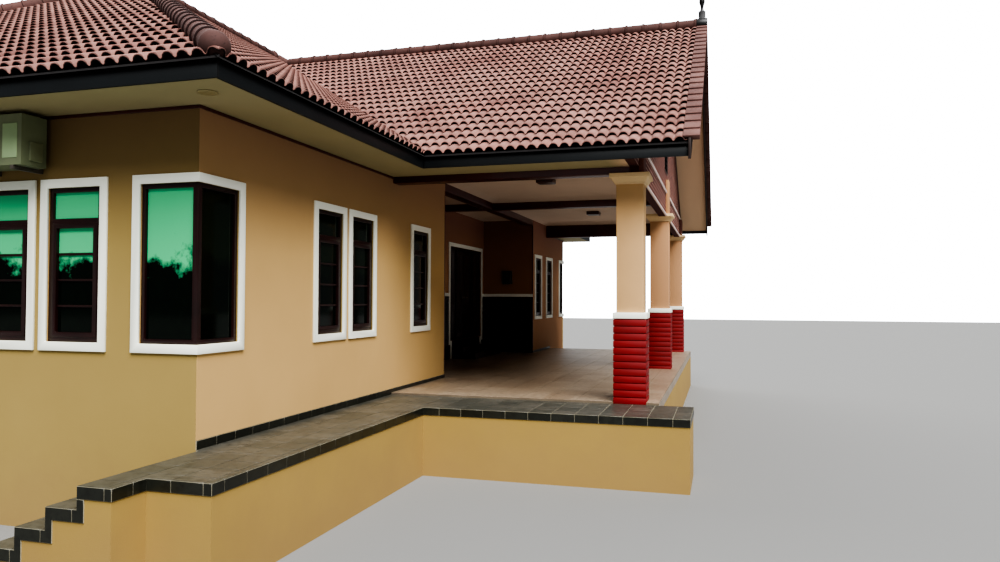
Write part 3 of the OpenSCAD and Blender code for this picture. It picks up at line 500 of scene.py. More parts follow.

# %% [markdown]
# A tile roof is never one colour. The tiles here are weathered from a brown red to a pale, pinkish
# grey. Each tile gets its own tone from white noise on its number along and up the slope, and larger
# clouds show where the rain runs. A painted shadow darkens the head of each course under the nose
# above it, and the faces that turn away from the sky are painted near black as shade. The numbers
# come from the house's coordinates, measured from the eave corner where the slope's first tile lies,
# so each slope has a finish of its own.

# %% Mix the finish of a tiled slope
FIRST_NOSE = 0.028  # from the edge of the solid up the slope to the first nose
MOUTH_SHIFT = 0.004  # brings the change of tone right under the nose
TILE_TONES = srgb(116, 77, 69), srgb(145, 101, 91)
FADED_TONE, SPOT_TONE = srgb(166, 130, 119), srgb(112, 70, 66)
# painted shadow under each nose, and painted shade on the faces turned away from the sky
NOSE_SHADOW_TONE, MOUTH_SHADE_TONE = srgb(58, 32, 29), srgb(36, 16, 14)


def slope_normal(azimuth):
    """The way out of a slope whose eave runs in the direction of the azimuth."""
    return Vector((
        math.sin(azimuth) * math.sin(PITCH), -math.cos(azimuth) * math.sin(PITCH), math.cos(PITCH)
    ))


def tile_numbers(material, start, azimuth):
    """The place on a slope in tiles across and in courses up."""
    course_deep = GAUGE * math.cos(PITCH)
    nose_shift = FIRST_NOSE * math.cos(PITCH) - MOUTH_SHIFT
    across = Vector((math.cos(azimuth), math.sin(azimuth)))
    uphill = Vector((-math.sin(azimuth), math.cos(azimuth)))
    object_place = places(material)
    numbers = []
    for direction, size, shift in ((across, 2 * ROLL, 0.0), (uphill, course_deep, nose_shift)):
        spot = along(material, object_place, (direction.x / size, direction.y / size, 0))
        numbers.append(reckon(material, "SUBTRACT", spot, (start.xy.dot(direction) + shift) / size))
    return numbers


def tile_finish(name, start, azimuth):
    material = finish(name, srgb(150, 95, 88), 0.82)
    numbers = tile_numbers(material, start, azimuth)
    cells = [reckon(material, "FLOOR", number) for number in numbers]
    cell = node(material, "ShaderNodeCombineXYZ", {"X": cells[0], "Y": cells[1]}).outputs[0]
    each = blend(material, own_tone(material, cell), *TILE_TONES)
    cloud = sharpen(material, noise(material, 0.9, 5.0, 0.6), 0.35, 0.95)
    faded = blend(material, cloud, each, FADED_TONE)
    speck = sharpen(material, noise(material, 38.0, 5.0, 0.7), 0.52, 0.70)
    spotted = blend(material, reckon(material, "MULTIPLY", speck, 0.30), faded, SPOT_TONE)
    up_tile = reckon(material, "FRACT", numbers[1])
    # painted shadow: the head of each course is darkened just under the next nose
    nose_shadow = reckon(material, "MULTIPLY", sharpen(material, up_tile, 0.84, 1.0), 0.7)
    shaded = blend(material, nose_shadow, spotted, NOSE_SHADOW_TONE)
    # painted shade: faces turned away from the sky are made near black
    faces_sky = along(material, normals(material), slope_normal(azimuth))
    shaded = blend(material, sharpen(material, faces_sky, 0.12, 0.32), MOUTH_SHADE_TONE, shaded)
    return wear(material, shaded, bump=noise(material, 140.0, 4.0), strength=0.35)


# near black: painted shade for the deck under the tiles
shade_under_tiles = mottled("Roof_underside_painted_shade", srgb(14, 10, 10), 0.3, 2.0, 0.95)
print("a tile is", 2 * ROLL, "m wide and", GAUGE, "m long to view")

# %% [markdown]
# Each slope is laid by the same recipe. Its first course starts a little inside the edge of the
# solid, so that the noses stay within the house's measured box. The sheet is cut by upright planes
# that stand on the hips and valleys. Below it lies a deck made from a copy of the solid, its top
# lowered under the pans, which closes the view between the tiles. The deck is painted near black,
# as painted shade under the tiles. A slope may be laid in several parts, each with cuts of its own.

# %% The recipe of a slope
TILE_SINK = 0.045  # the pans lie this deep under the top of the solid
DECK_DROP = 0.050  # and the deck lies deeper still, under the pans


def courses_on(depth):
    """How many courses cover a slope whose depth is measured on the ground."""
    return math.ceil((depth / math.cos(PITCH) - FIRST_NOSE) / GAUGE)


def lay_sheet(name, start, azimuth, width, depth, cuts):
    """Rolls and courses over a slope, cut by upright planes, with the thickness of a tile."""
    sheet = twin(first_cell)
    sheet.name = name
    repeat(sheet, math.ceil(width / ROLL), (ROLL, 0, 0), merge=0.0005)
    repeat(sheet, courses_on(depth), (0, GAUGE, 0))
    put(sheet, (0, FIRST_NOSE, -TILE_SINK))
    put(sheet, start, (PITCH, 0, azimuth))
    for point, way_out in cuts:
        cut_away(sheet, point, way_out)
    edit(sheet)
    bpy.ops.mesh.delete_loose()
    done()
    smooth(sheet, 35)
    finish_with(sheet, "SOLIDIFY", thickness=TILE, offset=-1.0, use_even_offset=False)
    return sheet


def deck_below(node_name, name, azimuth):
    """A copy of the solid with its top lowered under the pans."""
    deck = copy_solid(node_name, name)
    edit(deck)
    choose(lambda middle, normal: normal.z > 0.5)
    bpy.ops.transform.translate(value=-DECK_DROP * slope_normal(azimuth))
    done()
    coat(deck, shade_under_tiles)
    return deck


def lay_slope(name, node_name, start, azimuth, width, depth, *parts):
    """start is the eave corner on top of the solid, and each part a list of (point, way out) cuts."""
    material = tile_finish(name + "_finish", start, azimuth)
    sheets = [lay_sheet(name, start, azimuth, width, depth, cuts) for cuts in parts]
    for sheet in sheets:
        coat(sheet, material)
    deck = deck_below(node_name, name + "_deck", azimuth)
    hand_over(join(name, *sheets, deck), None, "roof_tile", node_name)


print("the rolls rise", round(NOSE_HIGH + TILE - TILE_SINK, 3), "m over the solid at their nose")

# %% [markdown]
# The four main slopes meet on hips that run at 45 degrees over the plan, because all slopes have
# one pitch. So each hip is a corner of the eaves and a diagonal direction, and a cut along it uses
# the same two values for the slopes on both its sides, once this way and once that way.

# %% Lay the front, left and rear slopes
EAVE = 0.772
WIDE, LONG = 12.7, 17.325
HALF = WIDE / 2 + EAVE
SLAB_HIGH = 0.0696  # the roof solids are this thick, measured upright
TOP_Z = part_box("main_roof_front")[0].z - FLOOR_Z + SLAB_HIGH
DIAGONAL = math.sqrt(0.5)

corners, ways = {}, {}
for end, y, way_y in (("front", -EAVE, 1), ("rear", LONG + EAVE, -1)):
    for side, x, way_x in (("right", EAVE, 1), ("left", -WIDE - EAVE, -1)):
        corners[end + "_" + side] = here(x, y, TOP_Z)
        ways[end + "_" + side] = Vector((way_x * DIAGONAL, way_y * DIAGONAL, 0))
ridge_point = here(-WIDE / 2, 0, 0)


def hip(corner, sign):
    """The cut along a hip; the sign chooses the side that is taken away."""
    return (corners[corner], sign * ways[corner])


lay_slope("Tiles_front", "main_roof_front", corners["front_left"], 0.0, WIDE + 2 * EAVE, HALF,
          [hip("front_right", 1), hip("front_left", 1)])
lay_slope("Tiles_left", "main_roof_left", corners["rear_left"], -math.pi / 2, LONG + 2 * EAVE, HALF,
          [hip("front_left", -1), hip("rear_left", -1), (ridge_point, SIDE)])
lay_slope("Tiles_rear", "main_roof_rear", corners["rear_right"], math.pi, WIDE + 2 * EAVE, HALF,
          [hip("rear_right", 1), hip("rear_left", 1)])
print("three slopes are laid")

# %% [markdown]
# The right slope is crossed by the porch roof, so it keeps its shape only outside the two valleys.
# A cut plane takes away all that lies beyond it, and such a notch can't be cut in one go. The slope
# is therefore laid in two parts that meet in line with the porch ridge.

# %% Lay the right slope and the porch slopes
PORCH_EAVE, PORCH_RIDGE, PORCH_END = 3.81, 9.85, 15.89
PORCH_DEPTH = PORCH_RIDGE - PORCH_EAVE
VERGE = 4.365
VERGE_LAP = 0.02  # the verge tiles cover the last rolls by this much
VALLEY_TOP = -5.268

valley_front = here(EAVE, PORCH_EAVE, TOP_Z)
valley_rear = here(EAVE, PORCH_END, TOP_Z)
porch_ridge_point = here(0, PORCH_RIDGE, 0)
verge_cut = (here(VERGE - VERGE_LAP, 0, 0), SIDE)
porch_width = VERGE - VALLEY_TOP

lay_slope("Tiles_right", "main_roof_right", corners["front_right"], math.pi / 2, LONG + 2 * EAVE, HALF,
          [hip("front_right", -1), (valley_front, ways["front_right"]), (porch_ridge_point, DEEP),
           (ridge_point, -SIDE)],
          [hip("rear_right", -1), (valley_rear, ways["rear_right"]), (porch_ridge_point, -DEEP),
           (ridge_point, -SIDE)])
lay_slope("Tiles_porch_front", "porch_roof_front", here(VALLEY_TOP, PORCH_EAVE, TOP_Z), 0.0,
          porch_width, PORCH_DEPTH,
          [(valley_front, -ways["front_right"]), (porch_ridge_point, DEEP), verge_cut])
lay_slope("Tiles_porch_rear", "porch_roof_rear", here(VERGE, PORCH_END, TOP_Z), math.pi,
          porch_width, PORCH_DEPTH,
          [(valley_rear, -ways["rear_right"]), (porch_ridge_point, -DEEP), verge_cut])
print("all six slopes are laid")

# %% [markdown]
# Ridge and hip tiles are half-round tiles about 345 mm long to view. Each has a rounded collar at
# its foot that laps the next one, and the first tile of a hip starts with a round nose. They are
# turned forms: a circle is extruded ring by ring through the outline of one tile, the tile is
# repeated along the run, and the part that would lie under the roof is cut away.

# %% Turn one run of ridge tiles
BARREL, COLLAR = 0.117, 0.134  # radius of the plain part and of the collar
RIDGE_OUTLINE = [  # place along the tile, radius
    (0.0, BARREL), (0.001, 0.128), (0.007, COLLAR), (0.044, COLLAR), (0.050, 0.129), (0.053, 0.120),
]
NOSE_ANGLES = (8, 28, 48, 68, 82)
RIDGE_LENGTH = 0.345
RIDGE_SINK = 0.07
JOINT_MOUTH = 0.0065  # this much of each tile lies in the shade of the joint
SIDES = 24


def clay(name, dark, light, spots):
    """Weathered clay: clouds between two tones, with dark spots and a rough grain."""
    material = finish(name, dark, 0.85)
    tone = blend(material, sharpen(material, noise(material, 1.6, 4.0), 0.35, 0.68), dark, light)
    spotted = blend(material, sharpen(material, noise(material, 30.0, 5.0, 0.7), 0.56, 0.72), tone, spots)
    return wear(material, spotted, bump=noise(material, 120.0), strength=0.3)


ridge_finish = clay("Ridge_finish", srgb(70, 45, 41), srgb(98, 67, 61), srgb(48, 30, 27))
verge_finish = clay("Verge_finish", srgb(88, 58, 53), srgb(116, 83, 76), srgb(66, 43, 40))
# painted shade: a dark ring where each ridge tile lies in the shade of its joint
ridge_joint_shade = mottled("Ridge_joint_shade", srgb(44, 22, 20), 0.3, 20.0, 0.9)


def turned(name, outline, closed_start=False):
    """A ring of points extruded along X through (place, radius) pairs."""
    place, radius = outline[0]
    bpy.ops.mesh.primitive_circle_add(
        vertices=SIDES, radius=radius, fill_type="NGON" if closed_start else "NOTHING",
        location=(place, 0, 0), rotation=(0, math.pi / 2, 0),
    )
    piece = bpy.context.object
    piece.name = name
    settle()
    only(piece)
    bpy.ops.object.mode_set(mode="EDIT")
    bpy.ops.mesh.select_mode(type="EDGE")
    bpy.ops.mesh.select_all(action="SELECT")
    for next_place, next_radius in outline[1:]:
        bpy.ops.mesh.extrude_region()
        bpy.ops.transform.translate(value=(next_place - place, 0, 0))
        factor = next_radius / radius
        bpy.ops.transform.resize(value=(1, factor, factor), center_override=(next_place, 0, 0))
        place, radius = next_place, next_radius
    bpy.ops.mesh.select_all(action="SELECT")
    bpy.ops.mesh.normals_make_consistent(inside=False)
    return done()


def ridge_run(name, start, length, turn, nose=False):
    """Ridge tiles from a start point along a direction, with a round nose before the first if asked."""
    count = round(length / RIDGE_LENGTH)
    step = length / count
    run = turned(name, RIDGE_OUTLINE + [(step, BARREL)])
    repeat(run, count, (step, 0, 0), merge=0.0005)
    if nose:
        bends = [math.radians(angle) for angle in NOSE_ANGLES]
        bend = [(-COLLAR * math.cos(angle), COLLAR * math.sin(angle)) for angle in bends]
        run = join(name, run, turned(name + "_tip", bend + [(0.0, COLLAR)], closed_start=True))
    coat(run, ridge_finish)
    run.data.materials.append(ridge_joint_shade)
    for face in run.data.polygons:
        past_first = face.center.x > 0.2
        face.material_index = 1 if past_first and face.center.x % step < JOINT_MOUTH else 0
    edit(run)
    bpy.ops.mesh.remove_doubles(threshold=0.0005)
    bpy.ops.mesh.bisect(plane_co=-RIDGE_SINK * UP, plane_no=UP, clear_inner=True)
    bpy.ops.mesh.select_all(action="SELECT")
    bpy.ops.mesh.normals_make_consistent(inside=False)
    done()
    smooth(run, 40)
    return put(run, start, turn)


print("a ridge tile has", len(RIDGE_OUTLINE), "rings of", SIDES, "points")

# %% [markdown]
# The runs lie on the two ridges and the four hips. A hip rises more gently than the slopes beside
# it, because it crosses them. Its first tile stands back from the eave corner so that its nose just
# reaches the corner. Where the main ridge meets two hips, a round cap covers the joint.

# %% Lay the ridge and hip tiles
HIP_RISE = math.atan(math.tan(PITCH) * DIAGONAL)
HIP_FOOT = COLLAR * math.sqrt(2) / math.cos(HIP_RISE)
MAIN_TOP = TOP_Z + HALF * math.tan(PITCH)
PORCH_TOP = TOP_Z + PORCH_DEPTH * math.tan(PITCH)
APEX_Y = (WIDE / 2, LONG - WIDE / 2)
APEX_STOP = 0.12  # the runs end this far from an apex, under its cap
CAP_RADIUS, CAP_SINK = 0.150, 0.06
VERGE_SETBACK = 0.07
hip_length = HALF * math.sqrt(2) / math.cos(HIP_RISE)
porch_ridge_start = VERGE - VERGE_SETBACK


def apex_cap(y):
    """A round cap over an end of the main ridge."""
    top = here(-WIDE / 2, y, MAIN_TOP)
    bpy.ops.mesh.primitive_uv_sphere_add(segments=SIDES, ring_count=12, radius=CAP_RADIUS, location=top)
    cap = bpy.context.object
    cap.name = "Apex_cap"
    put(cap, top)
    cut_away(cap, top - CAP_SINK * UP, -UP, fill=True)
    smooth(cap, 40)
    coat(cap, ridge_finish)
    return cap


runs = [
    ridge_run("Main_ridge", here(-WIDE / 2, APEX_Y[0] + APEX_STOP, MAIN_TOP),
              APEX_Y[1] - APEX_Y[0] - 2 * APEX_STOP, (0, 0, math.pi / 2)),
    ridge_run("Porch_ridge", here(porch_ridge_start, PORCH_RIDGE, PORCH_TOP),
              porch_ridge_start - VALLEY_TOP - APEX_STOP, (0, 0, math.pi)),
]
for corner, azimuth in (("front_right", 135), ("front_left", 45), ("rear_right", -135), ("rear_left", -45)):
    heading = math.radians(azimuth)
    level = math.cos(HIP_RISE)
    uphill = Vector((math.cos(heading) * level, math.sin(heading) * level, math.sin(HIP_RISE)))
    runs.append(ridge_run("Hip_" + corner, corners[corner] + HIP_FOOT * uphill,
                          hip_length - HIP_FOOT - APEX_STOP, (0, -HIP_RISE, heading), nose=True))
runs += [apex_cap(y) for y in APEX_Y]
hand_over(join("Ridge_and_hip_tiles", *runs), None, "ridge_tile", "ridge_tiles")

# %% [markdown]
# At the open ends of the porch roof a narrow column of flat verge tiles laps over the edge. Their
# outer lip hangs down past the barge board, and each one steps up over the next like the courses
# beside it. One tile is a block with a lip extruded from its outer end, laid along the slope by the
# same course length and mirrored for the rear slope.

# %% Lay the verge tiles
OUTER_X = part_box("verge_tiles")[1].x - CORNER_X
VERGE_WIDE, VERGE_THICK = 0.215, 0.030
LIP_WIDE, LIP_DROP = 0.110, 0.036
VERGE_STEP = 0.012
VERGE_LIFT = 0.018


def verge_tile(name):
    """One flat tile with its lip, raised at the nose and lowered at the head."""
    tile = box(name, (-VERGE_WIDE, -NOSE_LAP, -VERGE_THICK), (0.0, GAUGE, 0.0))
    edit(tile)
    bpy.ops.mesh.bisect(plane_co=(-LIP_WIDE, 0, 0), plane_no=SIDE)
    choose(lambda middle, normal: normal.z < -0.5 and middle.x > -LIP_WIDE)
    bpy.ops.mesh.extrude_region()
    bpy.ops.transform.translate(value=(0, 0, -LIP_DROP))
    choose_points(lambda p: p.y < 0)
    bpy.ops.transform.translate(value=(0, 0, VERGE_STEP))
    choose_points(lambda p: p.y > 0 and p.z > -0.02)
    bpy.ops.transform.translate(value=(0, 0, -VERGE_STEP))
    done()
    soften(tile, 0.007, 2)
    return tile


def verge_column(name, start, mirrored):
    """Verge tiles from an eave up to the porch ridge."""
    tile = verge_tile(name)
    repeat(tile, courses_on(PORCH_DEPTH), (0, GAUGE, 0))
    put(tile, (0, FIRST_NOSE, VERGE_LIFT))
    put(tile, (0, 0, 0), (PITCH, 0, 0))
    if mirrored:
        tile.scale = (1, -1, 1)
        settle()
        face_outwards(tile)
    put(tile, start)
    cut_away(tile, porch_ridge_point, -DEEP if mirrored else DEEP, fill=True)
    return tile


verges = [
    verge_column("Verge_front", here(OUTER_X, PORCH_EAVE, TOP_Z), mirrored=False),
    verge_column("Verge_rear", here(OUTER_X, PORCH_END, TOP_Z), mirrored=True),
]
hand_over(join("Verge_tile_columns", *verges), verge_finish, "ridge_tile", "verge_tiles")

# %% [markdown]
# The fascias are flat boards in a slate paint, nearly black towards the top, where the tiles shade
# them. The barge boards are stained brown. The soffits are painted cream, paler and pinker outside
# the porch gable, where they lie in the open light. The fascias and barge boards get rounded edges,
# and the soffits are flat boards with butted edges, so they only get their paint.

# %% Finish the eaves
fascia_paint = mottled("Fascia_paint", srgb(20, 24, 26), 0.2, 1.2, 0.5, grain=90, strength=0.1)
barge_stain = mottled("Barge_stain", srgb(48, 32, 27), 0.25, 2.0, 0.6, grain=50)
fascia_low, fascia_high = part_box("fascias")
painted_over(fascia_paint, "Z", fascia_low.z + 0.09, fascia_high.z - 0.02, srgb(5, 5, 5))
dress("fascias", fascia_paint, "fascia_paint", 0.003, name="Fascia_boards")
dress("barge_boards", barge_stain, "barge_paint", 0.004)
soffit_paint = mottled("Soffit_paint", srgb(168, 158, 120), 0.06, 0.8, 0.7, grain=40, strength=0.1)
painted_over(soffit_paint, "X", CORNER_X + 3.3, CORNER_X + 3.5, srgb(214, 184, 152))
coat(solids["soffits"], soffit_paint)
iron = mottled("Black_iron", srgb(22, 22, 23), 0.3, 8.0, 0.45, grain=160)
dress("finial", iron, "finial_black", 0.006, name="Ridge_finial")

# %% [markdown]
# ## Walls
# The walls are ochre. The front is painted darker and the sides lighter and warmer, as painted
# light and shade, and the walls are painted browner where the eaves shade them. The porch walls are
# painted redder and darker as painted shade under the porch roof, and the plinths are close to the
# front's ochre, so each group has a finish of its own. Splashes darken the foot of a wall, and
# trowel strokes show faintly. The solids already have their openings cut through, so they only get
# this finish. The face normal tells the front from the sides.

# %% Paint the walls
SHADE_FROM, SHADE_TO = FLOOR_Z + 1.9, FLOOR_Z + 3.25  # the eaves shade the wall between these
SHADE_TINT = (0.54, 0.47, 0.62)


def wall_finish(name, front_shade_colour, side_lit_colour):
    material = finish(name, side_lit_colour, 0.88)
    side = reckon(material, "ABSOLUTE", axis_of(material, normals(material), "X"))
    height = axis_of(material, places(material), "Z")
    # painted light and shade: the front is painted darker and the sides lighter
    base = blend(material, side, front_shade_colour, side_lit_colour)
    clouds = sharpen(material, noise(material, 0.55, 5.0, 0.6), 0.35, 0.7)
    toned = blend(material, clouds, base, (0.93, 0.92, 0.90), mode="MULTIPLY")
    splash = node(material, "ShaderNodeMapRange", {
        "Value": reckon(material, "ADD", height, noise(material, 2.5, 5.0, 0.7)),
        "From Min": 0.55, "From Max": 1.35, "To Min": 0.35, "To Max": 0.0,
    }).outputs["Result"]
    # painted shade under the eaves
    eave_shade = sharpen(material, height, SHADE_FROM, SHADE_TO)
    shade = blend(material, 1.0, toned, SHADE_TINT, mode="MULTIPLY")
    browned = blend(material, eave_shade, toned, shade)
    dirty = blend(material, splash, browned, srgb(140, 112, 80))
    grain = reckon(material, "ADD", noise(material, 7.0, 3.0), noise(material, 110.0, 5.0))
    return wear(material, dirty, bump=grain, strength=0.25, depth=0.003)


wall_render = wall_finish("Wall_render", srgb(159, 137, 83), srgb(206, 171, 114))
# painted shade: the porch walls are painted redder and darker, as under the porch roof
porch_shade_render = wall_finish("Porch_wall_painted_shade", srgb(158, 112, 78), srgb(184, 136, 98))
plinth_render = wall_finish("Plinth_render", srgb(158, 133, 75), srgb(165, 138, 80))
RENDERED = {
    wall_render: ["front_wall", "front_right_wall", "rear_wall", "left_wall"],
    porch_shade_render: [
        "recess_return_wall", "door_wall_front", "door_wall_rear", "door_wall_middle", "recess_end_wall",
        "rear_right_wall",
    ],
    plinth_render: ["walkway_base", "side_steps", "porch_base"],
}
for material, names in RENDERED.items():
    for name in names:
        coat(solids[name], material)
    print(material.name, "is on", len(names), "solids")

# %% [markdown]
# ## Windows
# Each opening has a white surround, a dark timber frame with a fanlight, and below the transom an
# opening sash with three thin bars. The surrounds and frames are copies of the solids with rounded
# edges. The bars are too thin for the solids: one set is modelled and copied into every sash.

# %% Dress the windows
WIN_W, WIN_H = 0.650, 1.550
FANLIGHT = 0.310
GLASS_EDGE = 0.097  # from the edge of the opening to the glass of the sash
BAR = 0.024
BAR_FRONT, BAR_BACK = 0.024, 0.044  # depth of the bars from the wall's face
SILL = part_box("window_frames")[0].z - FLOOR_Z
WINDOWS = (
    [("front", x) for x in (-1.790, -2.686, -5.700, -6.596, -9.900, -10.796)]
    + [("right", y) for y in (2.211, 3.118, 5.221, 13.600, 14.950)]
    + [("left", y) for y in (2.211, 3.118, 7.200, 8.107, 12.300, 13.207)]
    + [("rear", x) for x in (-2.700, -3.596, -6.300, -7.196, -10.300, -11.196)]
)

white_trim = mottled("White_trim", srgb(247, 249, 236), 0.03, 1.5, 0.55, grain=60, strength=0.1)
timber = mottled("Dark_timber", srgb(38, 12, 11), 0.3, 3.0, 0.4, grain=35, strength=0.1, gloss=0.2)
dress("window_surrounds", white_trim, "white_trim", 0.005)


def at_window(side, place):
    """Place and turn of a window's own corner: X along the wall, Y inwards."""
    return {
        "front": (here(place, 0, 0), 0.0),
        "right": (here(0, place, 0), math.pi / 2),
        "left": (here(-WIDE, place + WIN_W, 0), -math.pi / 2),
        "rear": (here(place + WIN_W, LONG, 0), math.pi),
    }[side]


bars = box("Sash_bars", (GLASS_EDGE, BAR_FRONT, 0), (WIN_W - GLASS_EDGE, BAR_BACK, BAR))
soften(bars, 0.003, 1)
pane = (WIN_H - FANLIGHT - 2 * GLASS_EDGE) / 4
repeat(bars, 3, (0, 0, pane))
put(bars, (0, 0, SILL + GLASS_EDGE + pane - BAR / 2))
window_frames = copy_solid("window_frames", "Window_frames_dressed")
soften(window_frames, 0.004, 2)
sets = []
for side, place in WINDOWS:
    origin, turn = at_window(side, place)
    sets.append(put(twin(bars), origin, (0, 0, turn)))
bpy.data.objects.remove(bars)
window_frames = join("Window_frames_dressed", window_frames, *sets)
hand_over(window_frames, timber, "frame_timber", "window_frames")

# %% [markdown]
# The glass is tinted. On the front it mirrors a bright green sky over a dark mass, and it looks the
# same on the rear; on the sides it is nearly black. The studio has nothing to mirror, so the
# reflection is painted into the finish as two tones that meet along a ragged line of noise.

# %% Tint the glass
LINE_LOW, LINE_HIGH = 0.30, 0.46  # the bright part starts between these heights over the sill


def glass_finish():
    material = finish("Tinted_glass", srgb(14, 20, 18), 0.06)
    shader_of(material).inputs["Specular IOR Level"].default_value = 0.2
    side = reckon(material, "ABSOLUTE", axis_of(material, normals(material), "X"))
    height = axis_of(material, places(material), "Z")
    ragged = reckon(material, "MULTIPLY", noise(material, 4.5, 6.0, 0.65), 0.9)
    line = reckon(material, "SUBTRACT", height, ragged)
    bright = sharpen(material, line, FLOOR_Z + SILL + LINE_LOW, FLOOR_Z + SILL + LINE_HIGH)
    sky_green = blend(material, side, srgb(84, 200, 140), srgb(20, 30, 18))
    dark_green = blend(material, noise(material, 9.0, 5.0, 0.7), srgb(2, 5, 3), srgb(10, 22, 13))
    return wear(material, blend(material, bright, dark_green, sky_green))


coat(solids["window_glass"], glass_finish())
print("glass is tinted")

# %% [markdown]
# ## Porch
# Three square columns stand on ribbed red bases, each with a white band over the base and a moulded
# capital under the beams. The two rear columns are painted a tone darker, as painted shade under the
# porch roof. Over the capitals the outer columns go on up the gable as brown pilasters: the faces up
# there get a second material. The beams are stained a dark maroon, and the ceiling is boarded in
# cream with sloping coves. The lamp under the front eave has a pale cover, and those in the porch
# are painted dark, as painted shade under the porch roof.

# %% Dress the porch
base_red = mottled("Base_red", srgb(126, 16, 18), 0.15, 2.5, 0.6, grain=40)
dress("column_bases", base_red, "column_base_red", 0.004)
dress("column_bands", white_trim, "white_trim", 0.008, 3)
column_paint = mottled("Column_paint", srgb(206, 168, 120), 0.06, 1.2, 0.75, grain=80)
# painted shade: the two rear columns, under the porch roof, are painted a tone darker
painted_over(column_paint, "Y", CORNER_Y + 6.0, CORNER_Y + 8.0, srgb(192, 148, 108))
shafts = dress("column_shafts", column_paint, "column_render", 0.008, 3)
shafts.data.materials.append(mottled("Brown_pilaster", srgb(104, 62, 52), 0.15, 3.0, 0.8, grain=80))
capital_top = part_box("column_capitals")[1].z
for face in shafts.data.polygons:
    high_up = face.center.z > capital_top - 0.02
    face.material_index = 1 if high_up and abs(face.center.y - CORNER_Y - PORCH_RIDGE) > 2 else 0
capital_paint = mottled("Capital_paint", srgb(226, 198, 154), 0.05, 1.2, 0.7, grain=80)
dress("column_capitals", capital_paint, "capital_render", 0.006, 3)
beam_stain = mottled("Beam_stain", srgb(66, 10, 10), 0.2, 1.8, 0.4, grain=30, gloss=0.2)
for beam in ("front_beam", "middle_beam", "rear_beam", "recess_beam"):
    dress(beam, beam_stain, "beam_maroon", 0.004, name=beam.title() + "_dressed")
ceiling_paint = mottled("Ceiling_paint", srgb(218, 196, 176), 0.05, 0.8, 0.75, grain=50, strength=0.1)
dress("porch_ceiling", ceiling_paint, "ceiling_board", 0.003)
lamp_cover = mottled("Lamp_cover", srgb(162, 150, 108), 0.1, 6.0, 0.35)
# painted shade: the lamp covers in the porch are painted dark
painted_over(lamp_cover, "Y", CORNER_Y + 1.0, CORNER_Y + 2.0, srgb(60, 30, 26))
dress("ceiling_lights", lamp_cover, "light_cover", 0.012, 3, name="Lamp_covers")

# %% [markdown]
# A thin maroon strip covers the joint where a wall meets the soffit, and a bead of the same colour
# runs down both front corners of the entrance recess. They are blocks with softened edges.

# %% Fix the maroon strips
SOFFIT = 3.246
STRIP = 0.018
STRIP_LOW, STRIP_HIGH = SOFFIT - 0.032, SOFFIT - 0.002
BEAD, BEAD_BACK = 0.022, 0.004  # a bead stands out by the first and laps the edge by the second
BEAD_LOW, BEAD_HIGH = 0.11, 3.34
RECESS = (6.704, 13.340)
PORCH_BEAMS = (4.448, 15.162)  # the right wall's strips end at the front and the rear beam

strips = [
    box("Strip", here(x0, y0, STRIP_LOW), here(x1, y1, STRIP_HIGH))
    for x0, y0, x1, y1 in (
        (-WIDE - STRIP, -STRIP, STRIP, 0),
        (-WIDE - STRIP, LONG, STRIP, LONG + STRIP),
        (-WIDE - STRIP, 0, -WIDE, LONG),
        (0, 0, STRIP, PORCH_BEAMS[0]),
        (0, PORCH_BEAMS[1], STRIP, LONG),
    )
]
strips += [
    box("Bead", here(-BEAD, y0, BEAD_LOW), here(BEAD_BACK, y1, BEAD_HIGH))
    for y0, y1 in ((RECESS[0] - BEAD, RECESS[0] + BEAD_BACK), (RECESS[1] - BEAD_BACK, RECESS[1] + BEAD))
]
wall_strips = join("Wall_strips", *strips)
soften(wall_strips, 0.003, 1)
hand_over(wall_strips, beam_stain, "beam_maroon")

# %% [markdown]
# ## Bricks and tiles
# A tiled face is laid the same way everywhere: the face of the solid is copied, cut along the
# joints by upright or level planes, each piece is inset by half a joint, the joints are taken out,
# and what is left is raised a little. What lies behind shows in the joints as mortar or grout.
# This keeps the cut tiles at openings and edges as a tiler would cut them.

# %% Helpers for laying tiles on a face
SLIVER = 0.0008  # square metres; a tiler lays no smaller piece


def cut_faces(piece, direction, offsets, test=None):
    """Cut along planes square to a direction, one at each distance from the scene's origin."""
    edit(piece)
    for offset in offsets:
        if test:
            choose(test)
        else:
            bpy.ops.mesh.select_all(action="SELECT")
        bpy.ops.mesh.bisect(plane_co=offset * direction, plane_no=direction)
    done()


def keep_faces(piece, test):
    """Delete the faces that fail the test."""
    edit(piece)
    choose(lambda middle, normal: not test(middle, normal))
    bpy.ops.mesh.delete(type="FACE")
    done()


def steps_between(low, high, step, start):
    """The joints between two places, counted in steps from a start."""
    first = start + math.ceil((low - start) / step) * step
    return [first + i * step for i in range(int((high - first) / step) + 1)]


def raise_tiles(piece, joint, rise, bevel):
    """Turn cut faces into tiles; nothing is given back where all of them are slivers."""
    edit(piece)
    mesh = bmesh.from_edit_mesh(piece.data)
    for face in mesh.faces:
        face.select_set(face.calc_area() < SLIVER)
    bmesh.update_edit_mesh(piece.data)
    bpy.ops.mesh.delete(type="FACE")
    bpy.ops.mesh.select_all(action="SELECT")
    bpy.ops.mesh.inset(thickness=joint / 2, depth=0.0, use_individual=True)
    bpy.ops.mesh.select_all(action="INVERT")
    bpy.ops.mesh.delete(type="FACE")
    done()
    if not piece.data.polygons:
        bpy.data.objects.remove(piece)
        return None
    edit(piece)
    mesh = bmesh.from_edit_mesh(piece.data)
    out = next(iter(mesh.faces)).normal.copy()
    bpy.ops.mesh.extrude_region()
    bpy.ops.transform.translate(value=out * rise)
    done()
    face_outwards(piece)
    if bevel:
        soften(piece, bevel, 1, 40)
    return piece


